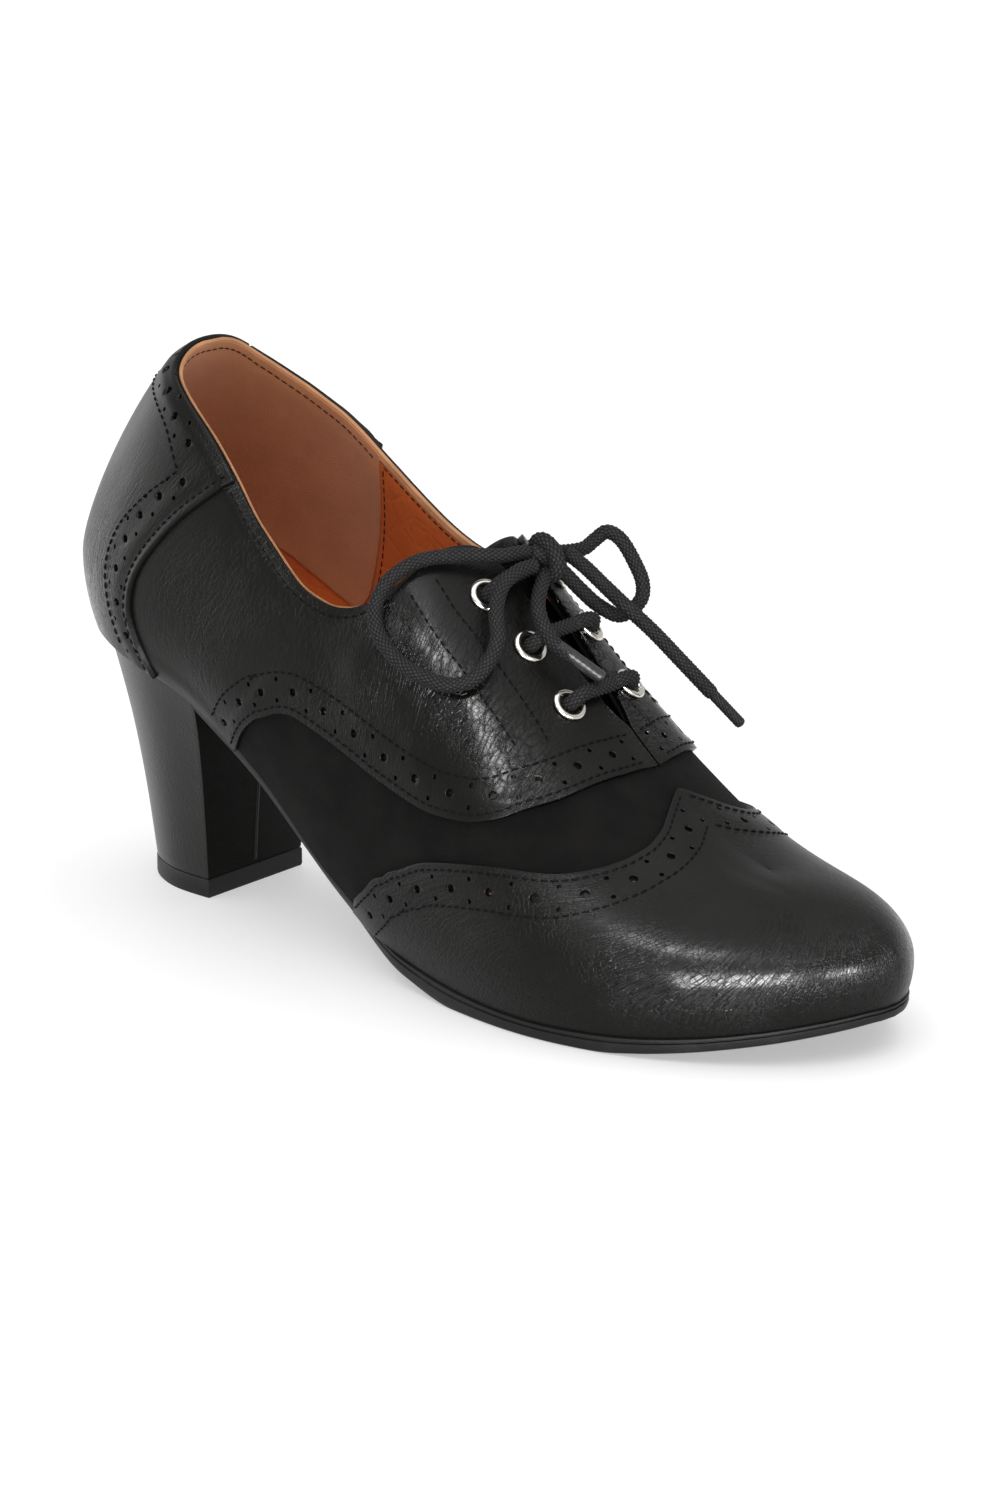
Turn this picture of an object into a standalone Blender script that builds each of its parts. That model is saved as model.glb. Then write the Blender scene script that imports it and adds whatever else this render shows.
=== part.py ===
"""Heeled brogue lace-up shoe for the right foot, built piece by piece.

Metres, +Z up, the toe towards +X and the inner side of the foot towards +Y. Tables are in millimetres.
The last is a family of ribs. Each rib starts on the feather line, where the upper meets the sole, and
climbs to the spine over the instep. A place on the last is a turn (0 at the heel's back, outer side first,
about 0.5 at the toe) and a height v (0 on the feather line, 1 on the spine). A station is a distance from
the back of the heel.
"""

import math

import bmesh
import bpy
import numpy as np
from mathutils import Matrix, Vector

MM = 0.001
ORIGIN_STATION = 126.3
ORIGIN_ACROSS = -1.5

# The last: one row per section from heel to toe. Outline y of both sides, height of the feather line, how far
# the side swells, how high above the feather line it is widest, power of the rib's curve, lean of the back.
SECTION_COLUMNS = ("station", "outer", "inner", "feather", "bulge", "widest", "fullness", "lean")
SECTIONS = (
    (5.0, 0.0, 0.0, 67.8, 3.2, 19.0, 2.00, 0.45),
    (8.5, -13.0, 13.0, 67.6, 3.3, 19.5, 2.00, 0.44),
    (18.0, -21.0, 21.0, 66.7, 3.9, 20.5, 2.00, 0.41),
    (32.0, -26.5, 26.0, 64.3, 4.6, 22.0, 2.00, 0.36),
    (50.0, -28.0, 26.5, 59.2, 5.5, 25.0, 2.00, 0.24),
    (75.0, -28.5, 23.5, 43.5, 6.0, 26.0, 2.00, 0.11),
    (105.0, -31.0, 22.0, 20.0, 5.8, 25.0, 2.05, 0.03),
    (133.0, -36.0, 26.0, 8.0, 3.8, 19.5, 2.25, 0.0),
    (160.0, -41.0, 34.5, 4.8, 2.5, 14.0, 2.50, 0.0),
    (180.0, -42.0, 39.0, 4.2, 2.3, 12.0, 2.30, 0.0),
    (200.0, -38.5, 38.5, 4.7, 2.1, 10.5, 2.12, 0.0),
    (218.0, -31.5, 33.5, 6.4, 2.0, 9.5, 2.12, 0.0),
    (232.0, -23.0, 27.0, 8.7, 1.8, 8.8, 2.12, 0.0),
    (243.0, -12.5, 18.0, 11.0, 1.6, 8.3, 2.12, 0.0),
    (250.0, 4.0, 4.0, 12.5, 1.5, 8.0, 2.12, 0.0),
)
SPINE_COLUMNS = ("station", "height", "across")
SPINE_ROWS = (
    (28.0, 160.0, 0.0),
    (60.0, 152.0, 0.0),
    (95.0, 132.0, 2.0),
    (128.0, 107.0, 5.0),
    (145.0, 88.0, 6.5),
    (160.0, 71.5, 7.0),
    (175.0, 58.0, 6.5),
    (190.0, 47.0, 5.0),
    (205.0, 39.5, 4.0),
    (218.0, 35.5, 3.0),
)
SPINE_BACK = 28.0
SPINE_FRONT = 214.0
SPINE_SOFTNESS = 10.0
WIDEST_V = 0.25
LEAN_ONSET = 8.0

# Collar, facing and lacing slot: height v of the upper's edge on each side.
TOPLINE_COLUMNS = ("station", "outer", "inner")
TOPLINE = (
    (5.0, 0.690, 0.690),
    (18.0, 0.642, 0.622),
    (32.0, 0.612, 0.572),
    (47.0, 0.582, 0.541),
    (65.0, 0.537, 0.530),
    (77.0, 0.508, 0.538),
    (90.0, 0.500, 0.557),
    (100.0, 0.520, 0.575),
    (108.0, 0.555, 0.594),
    (115.0, 0.615, 0.632),
    (119.5, 0.685, 0.680),
    (125.5, 0.790, 0.790),
    (132.0, 0.925, 0.925),
    (136.0, 0.946, 0.946),
    (150.0, 0.966, 0.966),
    (163.0, 0.984, 0.984),
    (169.0, 1.000, 1.000),
)
# Front edge of the counter, from the feather line (0) to the collar (1).
COUNTER_COLUMNS = ("share", "station")
COUNTER_FRONT = (
    (0.00, 42.5),
    (0.06, 41.5),
    (0.15, 39.5),
    (0.28, 38.4),
    (0.40, 39.6),
    (0.50, 42.6),
    (0.60, 47.0),
    (0.72, 52.6),
    (0.86, 59.4),
    (1.00, 65.5),
)
# Lower edge of the quarters, as heights v, and back edge of the wing cap with its peak on the spine.
QUARTER_COLUMNS = ("station", "v")
QUARTER_EDGE = (
    (70.0, 0.000),
    (80.0, 0.170),
    (86.0, 0.250),
    (97.0, 0.320),
    (111.0, 0.350),
    (128.0, 0.375),
    (142.0, 0.400),
    (155.0, 0.458),
    (163.0, 0.532),
    (168.5, 0.625),
    (173.0, 0.725),
    (177.0, 0.910),
)
CAP_COLUMNS = ("v", "station")
CAP_EDGE = (
    (0.000, 112.5),
    (0.095, 118.5),
    (0.200, 127.0),
    (0.262, 135.0),
    (0.335, 149.0),
    (0.410, 161.5),
    (0.510, 174.5),
    (0.590, 183.0),
    (0.668, 188.3),
    (0.755, 192.0),
    (0.855, 192.0),
    (0.940, 189.0),
    (1.000, 184.5),
)
SEAM_V = 0.9985

# Stations where ribs are drawn, as runs of equal steps; the ends are closer spaced.
HEEL_RUN = (5.0, 40.0, 7)
MIDDLE_RUNS = ((40.0, 112.0, 9), (112.0, 140.0, 7), (140.0, 205.0, 8))
TOE_RUN = (205.0, 250.0, 8)
UPPER_ROWS = 8
QUARTER_ROWS = 7
QUARTER_START_STEPS = 10
QUARTER_RUNS = ((108.0, 136.0, 8), (136.0, 164.0, 5), (164.0, 177.0, 5))
CAP_ROWS = 11
CAP_STEPS = 18
COUNTER_STEPS = 24
HEEL_STEPS = 24

WALL = 2.0
GAP = 0.3
PANEL_UNDER = 0.6
PANEL_THICK = 0.9
PANEL_RISE = 0.7
COUNTER_THICK = 1.6
TONGUE_UNDER = 3.3
TONGUE_THICK = 2.0
TONGUE_STATIONS = (176.0, 130.0)
TONGUE_EDGE_V = 0.80
TONGUE_STEPS = (10, 5)

INSOLE_THICK = 2.5
INSOLE_INSET = 3.2
SOLE_LIP = 1.5
SOLE_COLUMNS = ("station", "bottom")
SOLE_BOTTOM = (
    (53.0, 53.8),
    (75.0, 39.4),
    (90.0, 27.4),
    (105.0, 16.2),
    (120.0, 8.0),
    (135.0, 3.0),
    (152.0, 0.0),
    (196.0, 0.0),
    (206.0, 0.9),
    (218.0, 2.6),
    (232.0, 5.2),
    (243.0, 7.6),
    (250.0, 9.2),
)
BREAST = 53.0
TOP_PIECE = 5.0
HEEL_INSET = 0.4
# Heel from its foot (0) to the seat (1): share of the seat's width and length, and the station of the breast.
HEEL_COLUMNS = ("rise", "width", "length", "breast")
HEEL_TAPER = (
    (0.00, 0.670, 0.630, 49.0),
    (0.30, 0.735, 0.710, 50.0),
    (0.60, 0.820, 0.815, 51.2),
    (0.85, 0.920, 0.930, 52.4),
    (1.00, 1.000, 1.000, BREAST),
)

# Eyelets, station and v, the same on both sides.
EYELETS = ((136.6, 0.852), (148.0, 0.888), (160.2, 0.898))
EYELET_HOLE = 3.5
EYELET_SIDES = 12
# Turned section of an eyelet, radius and height above the last.
EYELET_PROFILE = (
    (2.6, 2.3),
    (3.3, 2.7),
    (4.1, 2.5),
    (4.5, 1.85),
    (3.2, 1.85),
    (3.2, -2.1),
    (2.7, -2.1),
)

# Lace: the bars climb out of an eyelet (distance inwards, lift) and cross the slot. The bow and ends are laid
# by hand along routes of station, across and height.
LACE = 3.8
BAR_RISE = ((0.0, -1.0), (0.1, 1.6), (0.7, 3.5), (2.2, 5.0), (4.5, 5.2), (7.0, 4.5))
BAR_MIDDLE_LIFT = 4.0
KNOT_ROUTE = ((139.4, 6.0, 108.8), (142.9, 6.0, 105.2), (146.0, 6.0, 101.8))
KNOT_WIDTH = 6.8
OUTER_LOOP_ROUTE = (
    (140.4, 2.0, 107.6),
    (138.0, -5.8, 106.0),
    (132.0, -13.6, 106.2),
    (124.9, -21.0, 104.6),
    (120.2, -27.2, 100.0),
    (119.2, -31.2, 93.6),
    (122.4, -33.2, 87.6),
    (129.4, -34.0, 82.6),
    (136.8, -33.2, 79.8),
    (143.0, -31.2, 78.6),
    (147.2, -27.4, 80.0),
    (148.8, -23.2, 83.8),
    (148.4, -19.4, 88.8),
    (147.0, -15.0, 94.8),
    (146.2, -9.4, 99.8),
    (145.6, -3.4, 102.4),
    (145.2, 2.0, 103.0),
)
INNER_LOOP_ROUTE = (
    (140.0, 11.2, 107.6),
    (140.6, 16.0, 104.2),
    (141.2, 22.6, 101.8),
    (143.2, 26.4, 104.8),
    (146.0, 28.6, 107.2),
    (149.5, 29.8, 105.4),
    (153.0, 29.8, 99.8),
    (155.5, 28.4, 94.0),
    (156.0, 26.6, 89.8),
    (153.6, 22.0, 86.8),
    (150.2, 17.6, 89.6),
    (148.0, 13.4, 94.0),
    (146.4, 9.9, 98.6),
)
LONG_END_ROUTE = (
    (144.6, 11.6, 103.6),
    (147.4, 15.6, 99.4),
    (151.5, 18.4, 94.6),
    (158.0, 18.8, 90.4),
    (163.5, 22.6, 84.2),
    (169.0, 26.4, 77.2),
    (174.8, 30.8, 69.4),
)
LONG_TIP_ROUTE = ((175.1, 31.1, 69.0), (181.5, 35.9, 60.4))
SHORT_END_ROUTE = (
    (147.6, 5.0, 98.4),
    (149.8, 0.6, 96.4),
    (152.2, -3.0, 93.6),
    (156.0, -4.6, 89.0),
    (159.2, -4.0, 85.4),
)
SHORT_TIP_ROUTE = ((160.0, -3.4, 84.5), (165.6, 0.4, 78.8))
TIP_WIDTH = 2.8
ROUTE_STEP = 6.5

LEATHER = ("black_leather", (0.012, 0.012, 0.013), 0.32, 0.0)
SUEDE = ("black_suede", (0.006, 0.006, 0.006), 0.95, 0.0)
LINING = ("tan_lining", (0.42, 0.13, 0.025), 0.45, 0.0)
RUBBER = ("black_rubber", (0.010, 0.010, 0.010), 0.60, 0.0)
NICKEL = ("nickel", (0.72, 0.70, 0.66), 0.18, 1.0)
CORD = ("waxed_cord", (0.020, 0.020, 0.021), 0.70, 0.0)
CLEAR = ("clear_tip", (0.10, 0.10, 0.10), 0.15, 0.0)


def smooth_column(table, columns, name):
    """A cubic through one column of a table that never overshoots, as a function of the first column."""
    x = np.array([row[0] for row in table])
    y = np.array([row[columns.index(name)] for row in table])
    step = np.diff(x)
    rise = np.diff(y) / step
    slope = np.zeros_like(y)
    slope[0] = rise[0]
    slope[-1] = rise[-1]
    for i in range(1, len(x) - 1):
        if rise[i - 1] * rise[i] > 0:
            before = 2 * step[i] + step[i - 1]
            after = step[i] + 2 * step[i - 1]
            slope[i] = (before + after) / (before / rise[i - 1] + after / rise[i])

    def value(at):
        at = np.clip(np.asarray(at, float), x[0], x[-1])
        i = np.clip(np.searchsorted(x, at, side="right") - 1, 0, len(x) - 2)
        t = (at - x[i]) / step[i]
        ends = (2 * t**3 - 3 * t**2 + 1) * y[i] + (3 * t**2 - 2 * t**3) * y[i + 1]
        turns = (t**3 - 2 * t**2 + t) * slope[i] + (t**3 - t**2) * slope[i + 1]
        return ends + step[i] * turns

    return value


def closed_spline(points):
    """A smooth closed curve through points, as a function of a turn from 0 to 1."""
    points = np.asarray(points, float)
    count = len(points)
    step = np.sqrt(np.linalg.norm(np.roll(points, -1, axis=0) - points, axis=1))
    knots = np.concatenate([[0.0], np.cumsum(step)])
    matrix = np.zeros((count, count))
    right = np.zeros_like(points)
    for i in range(count):
        after = (i + 1) % count
        matrix[i, i - 1] = step[i]
        matrix[i, i] = 2 * (step[i - 1] + step[i])
        matrix[i, after] = step[i - 1]
        rise_before = (points[i] - points[i - 1]) / step[i - 1]
        rise_after = (points[after] - points[i]) / step[i]
        right[i] = 3 * (step[i] * rise_before + step[i - 1] * rise_after)
    slope = np.linalg.solve(matrix, right)

    def value(turn):
        at = (np.asarray(turn, float) % 1.0) * knots[-1]
        i = np.clip(np.searchsorted(knots, at, side="right") - 1, 0, count - 1)
        after = (i + 1) % count
        t = ((at - knots[i]) / step[i])[..., None]
        ends = (2 * t**3 - 3 * t**2 + 1) * points[i] + (3 * t**2 - 2 * t**3) * points[after]
        turns = (t**3 - 2 * t**2 + t) * slope[i] + (t**3 - t**2) * slope[after]
        return ends + step[i][..., None] * turns

    return value


def columns_of(table, columns):
    return {name: smooth_column(table, columns, name) for name in columns[1:]}


OUTER_SIDE = "outer"
INNER_SIDE = "inner"
LAST = columns_of(SECTIONS, SECTION_COLUMNS)
SPINE = columns_of(SPINE_ROWS, SPINE_COLUMNS)
TOP_EDGE = columns_of(TOPLINE, TOPLINE_COLUMNS)
COUNTER = columns_of(COUNTER_FRONT, COUNTER_COLUMNS)["station"]
QUARTER_LOW = columns_of(QUARTER_EDGE, QUARTER_COLUMNS)["v"]
CAP_BACK = columns_of(CAP_EDGE, CAP_COLUMNS)["station"]
SOLE_LOW = columns_of(SOLE_BOTTOM, SOLE_COLUMNS)["bottom"]
HEEL = columns_of(HEEL_TAPER, HEEL_COLUMNS)

OUTLINE = closed_spline(
    [(row[0], row[1]) for row in SECTIONS] + [(row[0], row[2]) for row in reversed(SECTIONS[1:-1])]
)
TURNS = np.linspace(0.0, 1.0, 4001)
OUTLINE_STATIONS = OUTLINE(TURNS)[:, 0]
TOE_INDEX = int(OUTLINE_STATIONS.argmax())
TOE_TURN = float(TURNS[TOE_INDEX])


def turn_at(station, side):
    """Turn of the outline at a station on one side."""
    if side == OUTER_SIDE:
        return np.interp(station, OUTLINE_STATIONS[: TOE_INDEX + 1], TURNS[: TOE_INDEX + 1])
    return np.interp(station, OUTLINE_STATIONS[TOE_INDEX:][::-1], TURNS[TOE_INDEX:][::-1])


def spine_station(station):
    """Where a rib meets the spine: ribs of the heel and toe fan out from its two ends."""
    soft = SPINE_SOFTNESS
    held = SPINE_BACK + soft * np.log1p(np.exp((station - SPINE_BACK) / soft))
    return SPINE_FRONT - soft * np.log1p(np.exp((SPINE_FRONT - held) / soft))


def rib_point(turn, v):
    """A point of the last in millimetres: station, across and height."""
    turn, v = np.broadcast_arrays(np.asarray(turn, float), np.asarray(v, float))
    outline = OUTLINE(turn)
    station = outline[..., 0]
    spine_x = spine_station(station)
    spine_y = SPINE["across"](spine_x)
    along = station - spine_x
    across = outline[..., 1] - spine_y
    reach = np.hypot(along, across)
    feather = LAST["feather"](station)
    widest = feather + LAST["widest"](station)
    bulge = LAST["bulge"](station)
    power = 2.0 / LAST["fullness"](station)
    low_share = np.clip(v / WIDEST_V, 0.0, 1.0)
    phase = np.clip((v - WIDEST_V) / (1.0 - WIDEST_V), 0.0, 1.0) * math.pi / 2
    low_reach = reach + bulge * (1.0 - (1.0 - low_share) ** 2)
    high_reach = (reach + bulge) * np.clip(np.cos(phase), 0.0, 1.0) ** power
    low_height = feather + (widest - feather) * low_share
    high_height = widest + (SPINE["height"](spine_x) - widest) * np.sin(phase) ** power
    out = np.where(v < WIDEST_V, low_reach, high_reach) / reach
    height = np.where(v < WIDEST_V, low_height, high_height)
    above = np.clip(height - widest, 0.0, None)
    lean = LAST["lean"](station) * above**2 / (above + LEAN_ONSET)
    return np.stack([spine_x + along * out + lean, spine_y + across * out, height], -1)


def normal_at(turn, v):
    """Outward direction of the last."""
    v = np.clip(v, 0.004, 0.995)
    along = rib_point(turn + 2e-4, v) - rib_point(turn - 2e-4, v)
    upward = rib_point(turn, v + 2e-3) - rib_point(turn, v - 2e-3)
    normal = np.cross(along, upward)
    return normal / np.linalg.norm(normal, axis=-1, keepdims=True)


def lifted(turn, v, lift):
    """Points at a height above the last."""
    turn, v, lift = np.broadcast_arrays(*(np.asarray(value, float) for value in (turn, v, lift)))
    return rib_point(turn, v) + normal_at(turn, v) * lift[..., None]


def station_of(turn):
    return OUTLINE(turn)[..., 0]


def top_v(turn):
    """Height of the upper's edge; turns below 0 run on round the heel to the inner side."""
    station = station_of(turn)
    outer = np.asarray(turn) % 1.0 <= TOE_TURN
    return np.where(outer, TOP_EDGE[OUTER_SIDE](station), TOP_EDGE[INNER_SIDE](station))


def low_v(station):
    """Height v at which overlaid panels start, just clear of the sole."""
    return WIDEST_V * PANEL_RISE / LAST["widest"](station)


def rib_stations(start):
    """Stations of the ribs from start to the toe, closer together round the heel and the toe."""
    first, last, steps = HEEL_RUN
    angles = np.linspace(0.0, math.pi / 2, steps + 1)
    runs = [first + (last - first) * (1.0 - np.cos(angles))]
    runs += [np.linspace(*run[:2], run[2] + 1)[1:] for run in MIDDLE_RUNS]
    first, last, steps = TOE_RUN
    angles = np.linspace(0.0, math.pi / 2, steps + 1)[1:]
    runs.append(first + (last - first) * np.sin(angles))
    stations = np.concatenate(runs)
    return np.concatenate([[start], stations[stations > start + 1.0]])


def loop_turns(start):
    """Turns from a station on the outer side, round the toe, back to that station on the inner side."""
    stations = rib_stations(start)[:-1]
    outer = turn_at(stations, OUTER_SIDE)
    inner = turn_at(stations[::-1], INNER_SIDE)
    return np.concatenate([outer, [TOE_TURN], inner])


def world(point):
    """Millimetres of the shoe to metres about the part's origin."""
    station, across, height = point
    return Vector((station - ORIGIN_STATION, across - ORIGIN_ACROSS, height)) * MM


def principled(look):
    """A material from a name, colour, roughness and metallic value."""
    name, colour, roughness, metallic = look
    material = bpy.data.materials.get(name)
    if material is None:
        material = bpy.data.materials.new(name)
        material.use_nodes = True
        shader = material.node_tree.nodes["Principled BSDF"]
        shader.inputs["Base Color"].default_value = (*colour, 1.0)
        shader.inputs["Roughness"].default_value = roughness
        shader.inputs["Metallic"].default_value = metallic
    return material


def add_object(name, data, look, shoe):
    """Put a mesh or curve in the shoe's collection, with its material."""
    data.materials.append(principled(look))
    piece = bpy.data.objects.new(name, data)
    shoe.users_collection[0].objects.link(piece)
    piece.parent = shoe
    return piece


def add_mesh(name, body, look, shoe):
    mesh = bpy.data.meshes.new(name)
    body.to_mesh(mesh)
    body.free()
    mesh.shade_smooth()
    mesh.set_sharp_from_angle(angle=math.radians(40))
    return add_object(name, mesh, look, shoe)


def grid(points, joined=False):
    """Triangles over columns of points, along the shorter diagonals. Column ends that meet are merged."""
    body = bmesh.new()
    columns, rows = points.shape[:2]
    verts = [[body.verts.new(world(point)) for point in column] for column in points]
    for k in range(columns if joined else columns - 1):
        here = verts[k]
        after = verts[(k + 1) % columns]
        for j in range(rows - 1):
            a, b, c, d = here[j], after[j], after[j + 1], here[j + 1]
            if (a.co - c.co).length <= (b.co - d.co).length:
                body.faces.new((a, b, c))
                body.faces.new((a, c, d))
            else:
                body.faces.new((a, b, d))
                body.faces.new((b, c, d))
    bmesh.ops.remove_doubles(body, verts=[column[-1] for column in verts], dist=0.1 * MM)
    return body


def shell(name, points, thick, look, shoe, joined=False):
    """A wall of even thickness inside a grid of points."""
    piece = add_mesh(name, grid(points, joined), look, shoe)
    wall = piece.modifiers.new("wall", "SOLIDIFY")
    wall.thickness = thick * MM
    wall.offset = -1.0
    return piece


def stack(name, rings, look, shoe):
    """A solid through rings from bottom to top. Its ends are closed by rungs between a ring's two sides."""
    body = bmesh.new()
    verts = [[body.verts.new(world(point)) for point in ring] for ring in rings]
    count = len(verts[0])
    for low, high in zip(verts[:-1], verts[1:]):
        for k in range(count):
            after = (k + 1) % count
            body.faces.new((low[k], low[after], high[after], high[k]))
    for ring in (verts[0], verts[-1]):
        for k in range(count // 2):
            corners = (ring[k], ring[k + 1], ring[count - 2 - k], ring[count - 1 - k])
            body.faces.new(dict.fromkeys(corners))
    bmesh.ops.recalc_face_normals(body, faces=body.faces)
    return add_mesh(name, body, look, shoe)


def offset_outline(turn, distance):
    """The feather outline moved outwards in plan."""
    ahead = OUTLINE(turn + 1e-4)
    behind = OUTLINE(turn - 1e-4)
    along = (ahead - behind) / np.linalg.norm(ahead - behind, axis=-1, keepdims=True)
    return OUTLINE(turn) + distance * np.stack([along[..., 1], -along[..., 0]], -1)


def at_height(plan, height):
    return np.concatenate([plan, np.broadcast_to(height, plan.shape[:1])[:, None]], axis=1)


def make_upper(shoe):
    """The hollow upper, open at collar, throat and underneath."""
    turns = loop_turns(HEEL_RUN[0])[:-1]
    share = np.linspace(0.0, 1.0, UPPER_ROWS + 1)
    v = top_v(turns)[:, None] * share
    return shell("upper", lifted(turns[:, None], v, 0.0), WALL, SUEDE, shoe, joined=True)


def make_insole(shoe):
    turns = loop_turns(HEEL_RUN[0] + 0.5)
    plan = offset_outline(turns, -INSOLE_INSET)
    seat = LAST["feather"](plan[:, 0])
    rings = [at_height(plan, seat), at_height(plan, seat + INSOLE_THICK)]
    return stack("insole", rings, LINING, shoe)


def make_outsole(shoe):
    """The sole from the heel's breast to the toe, flat on the floor under the ball of the foot."""
    turns = loop_turns(BREAST + GAP)
    plan = offset_outline(turns, SOLE_LIP)
    top = LAST["feather"](plan[:, 0]) - GAP
    rings = [at_height(plan, SOLE_LOW(plan[:, 0])), at_height(plan, top)]
    return stack("outsole", rings, RUBBER, shoe)


def heel_rings(rises, foot):
    """Rings of the heel between its foot and the seat under the upper."""
    outer = turn_at(BREAST, OUTER_SIDE)
    inner = turn_at(BREAST, INNER_SIDE) - 1.0
    plan = offset_outline(np.linspace(inner, outer, HEEL_STEPS + 1), -HEEL_INSET)
    plan[0, 0] = plan[-1, 0] = BREAST
    seat = LAST["feather"](plan[:, 0]) - GAP
    rings = []
    for rise in rises:
        breast = HEEL["breast"](rise)
        station = breast - (BREAST - plan[:, 0]) * HEEL["length"](rise)
        ring = np.stack([station, plan[:, 1] * HEEL["width"](rise)], -1)
        rings.append(at_height(ring, foot + (seat - foot) * rise))
    return rings


def make_heel(shoe):
    """The covered heel block, and the top piece that it walks on."""
    rises = [row[0] for row in HEEL_TAPER]
    stack("heel_block", heel_rings(rises, TOP_PIECE + GAP), LEATHER, shoe)
    foot = heel_rings([0.0], 0.0)[0]
    lifted_foot = foot + np.array([0.0, 0.0, TOP_PIECE])
    stack("heel_top_piece", [foot, lifted_foot], RUBBER, shoe)


def make_wing_cap(shoe):
    """The wing cap over the toe, from its winged back edge, with a peak on the spine, to the tip."""
    heights = np.linspace(0.0, 1.0, CAP_ROWS + 1)
    back = CAP_BACK(heights)
    ahead = np.sin(np.linspace(0.0, math.pi / 2, CAP_STEPS + 1))[:-1, None]
    stations = back + (TOE_RUN[1] - back) * ahead
    turns = np.concatenate([
        turn_at(stations, OUTER_SIDE),
        np.full((1, len(heights)), TOE_TURN),
        turn_at(stations[::-1], INNER_SIDE),
    ])
    v = np.maximum(heights, low_v(station_of(turns)))
    points = lifted(turns, v, PANEL_UNDER + PANEL_THICK)
    points[:, -1] = (points[:, -1] + points[::-1, -1]) / 2
    return shell("wing_cap", points, PANEL_THICK, LEATHER, shoe)


def make_counter(shoe):
    """The counter round the back of the heel."""
    share = np.linspace(0.0, 1.0, UPPER_ROWS + 1)
    front = COUNTER(share)
    outer = turn_at(front, OUTER_SIDE)
    inner = turn_at(front, INNER_SIDE) - 1.0
    across = np.linspace(0.0, 1.0, COUNTER_STEPS + 1)[:, None]
    turns = inner + (outer - inner) * across
    v = np.maximum(top_v(turns) * share, low_v(station_of(turns)))
    points = lifted(turns, v, PANEL_UNDER + COUNTER_THICK)
    return shell("counter", points, COUNTER_THICK, LEATHER, shoe)


def make_quarter(side, shoe):
    """The quarter of one side: facing, side panel and its scalloped lower edge."""
    share = np.linspace(0.0, 1.0, QUARTER_ROWS + 1)
    back = COUNTER(share) + GAP + PANEL_UNDER
    forward = np.linspace(0.0, 1.0, QUARTER_START_STEPS + 1)[:, None]
    start = back + (QUARTER_RUNS[0][0] - back) * forward
    ahead = np.concatenate([np.linspace(*run[:2], run[2] + 1)[1:] for run in QUARTER_RUNS])
    stations = np.concatenate([start, np.broadcast_to(ahead[:, None], (len(ahead), len(back)))])
    low = np.maximum(QUARTER_LOW(stations), low_v(stations))
    high = np.minimum(TOP_EDGE[side](stations), SEAM_V)
    turns = turn_at(stations, side)
    points = lifted(turns, low + (high - low) * share, PANEL_UNDER + PANEL_THICK)
    if side == INNER_SIDE:
        points = points[::-1]
    return shell("quarter_" + side, points, PANEL_THICK, LEATHER, shoe)


def make_tongue(shoe):
    """The tongue under the facings."""
    along, across = TONGUE_STEPS
    stations = np.linspace(*TONGUE_STATIONS, along + 1)
    heights = np.linspace(TONGUE_EDGE_V, 1.0, across + 1)
    outer = lifted(turn_at(stations, OUTER_SIDE), heights[:, None], -TONGUE_UNDER)
    inner = lifted(turn_at(stations, INNER_SIDE), heights[::-1, None], -TONGUE_UNDER)
    middle = (outer[-1:] + inner[:1]) / 2
    points = np.concatenate([outer[:-1], middle, inner[1:]])
    return shell("tongue", points, TONGUE_THICK, LEATHER, shoe)


def eyelet_matrix(row, side):
    """Seat of an eyelet: its axis stands on the last."""
    station, v = row
    turn = turn_at(station, side)
    axis = Vector(normal_at(np.array(turn), np.array(v)))
    place = Matrix.Translation(world(rib_point(turn, v)))
    return place @ axis.to_track_quat("Z", "Y").to_matrix().to_4x4()


def make_eyelets(side, shoe):
    """Three turned eyelets of one side."""
    for number, row in enumerate(EYELETS, 1):
        body = bmesh.new()
        verts = [body.verts.new((radius * MM, 0.0, height * MM)) for radius, height in EYELET_PROFILE]
        for here, after in zip(verts, verts[1:] + verts[:1]):
            body.edges.new((here, after))
        eyelet = add_mesh(f"eyelet_{side}_{number}", body, NICKEL, shoe)
        eyelet.matrix_local = eyelet_matrix(row, side)
        turned = eyelet.modifiers.new("turned", "SCREW")
        turned.steps = EYELET_SIDES
        turned.render_steps = EYELET_SIDES
        turned.use_merge_vertices = True
        turned.merge_threshold = 1e-6


def cut_eyelet_holes(side, pieces, shoe, cutters):
    """Punch the eyelet holes of one side through the pieces under them."""
    body = bmesh.new()
    for row in EYELETS:
        bmesh.ops.create_cone(
            body,
            cap_ends=True,
            segments=EYELET_SIDES,
            radius1=EYELET_HOLE * MM,
            radius2=EYELET_HOLE * MM,
            depth=6 * WALL * MM,
            matrix=eyelet_matrix(row, side),
        )
    mesh = bpy.data.meshes.new("punch_" + side)
    body.to_mesh(mesh)
    body.free()
    punch = bpy.data.objects.new("punch_" + side, mesh)
    cutters.objects.link(punch)
    punch.parent = shoe
    punch.hide_render = True
    punch.display_type = "WIRE"
    for piece in pieces:
        cut = piece.modifiers.new("holes_" + side, "BOOLEAN")
        cut.operation = "DIFFERENCE"
        cut.object = punch


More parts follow.
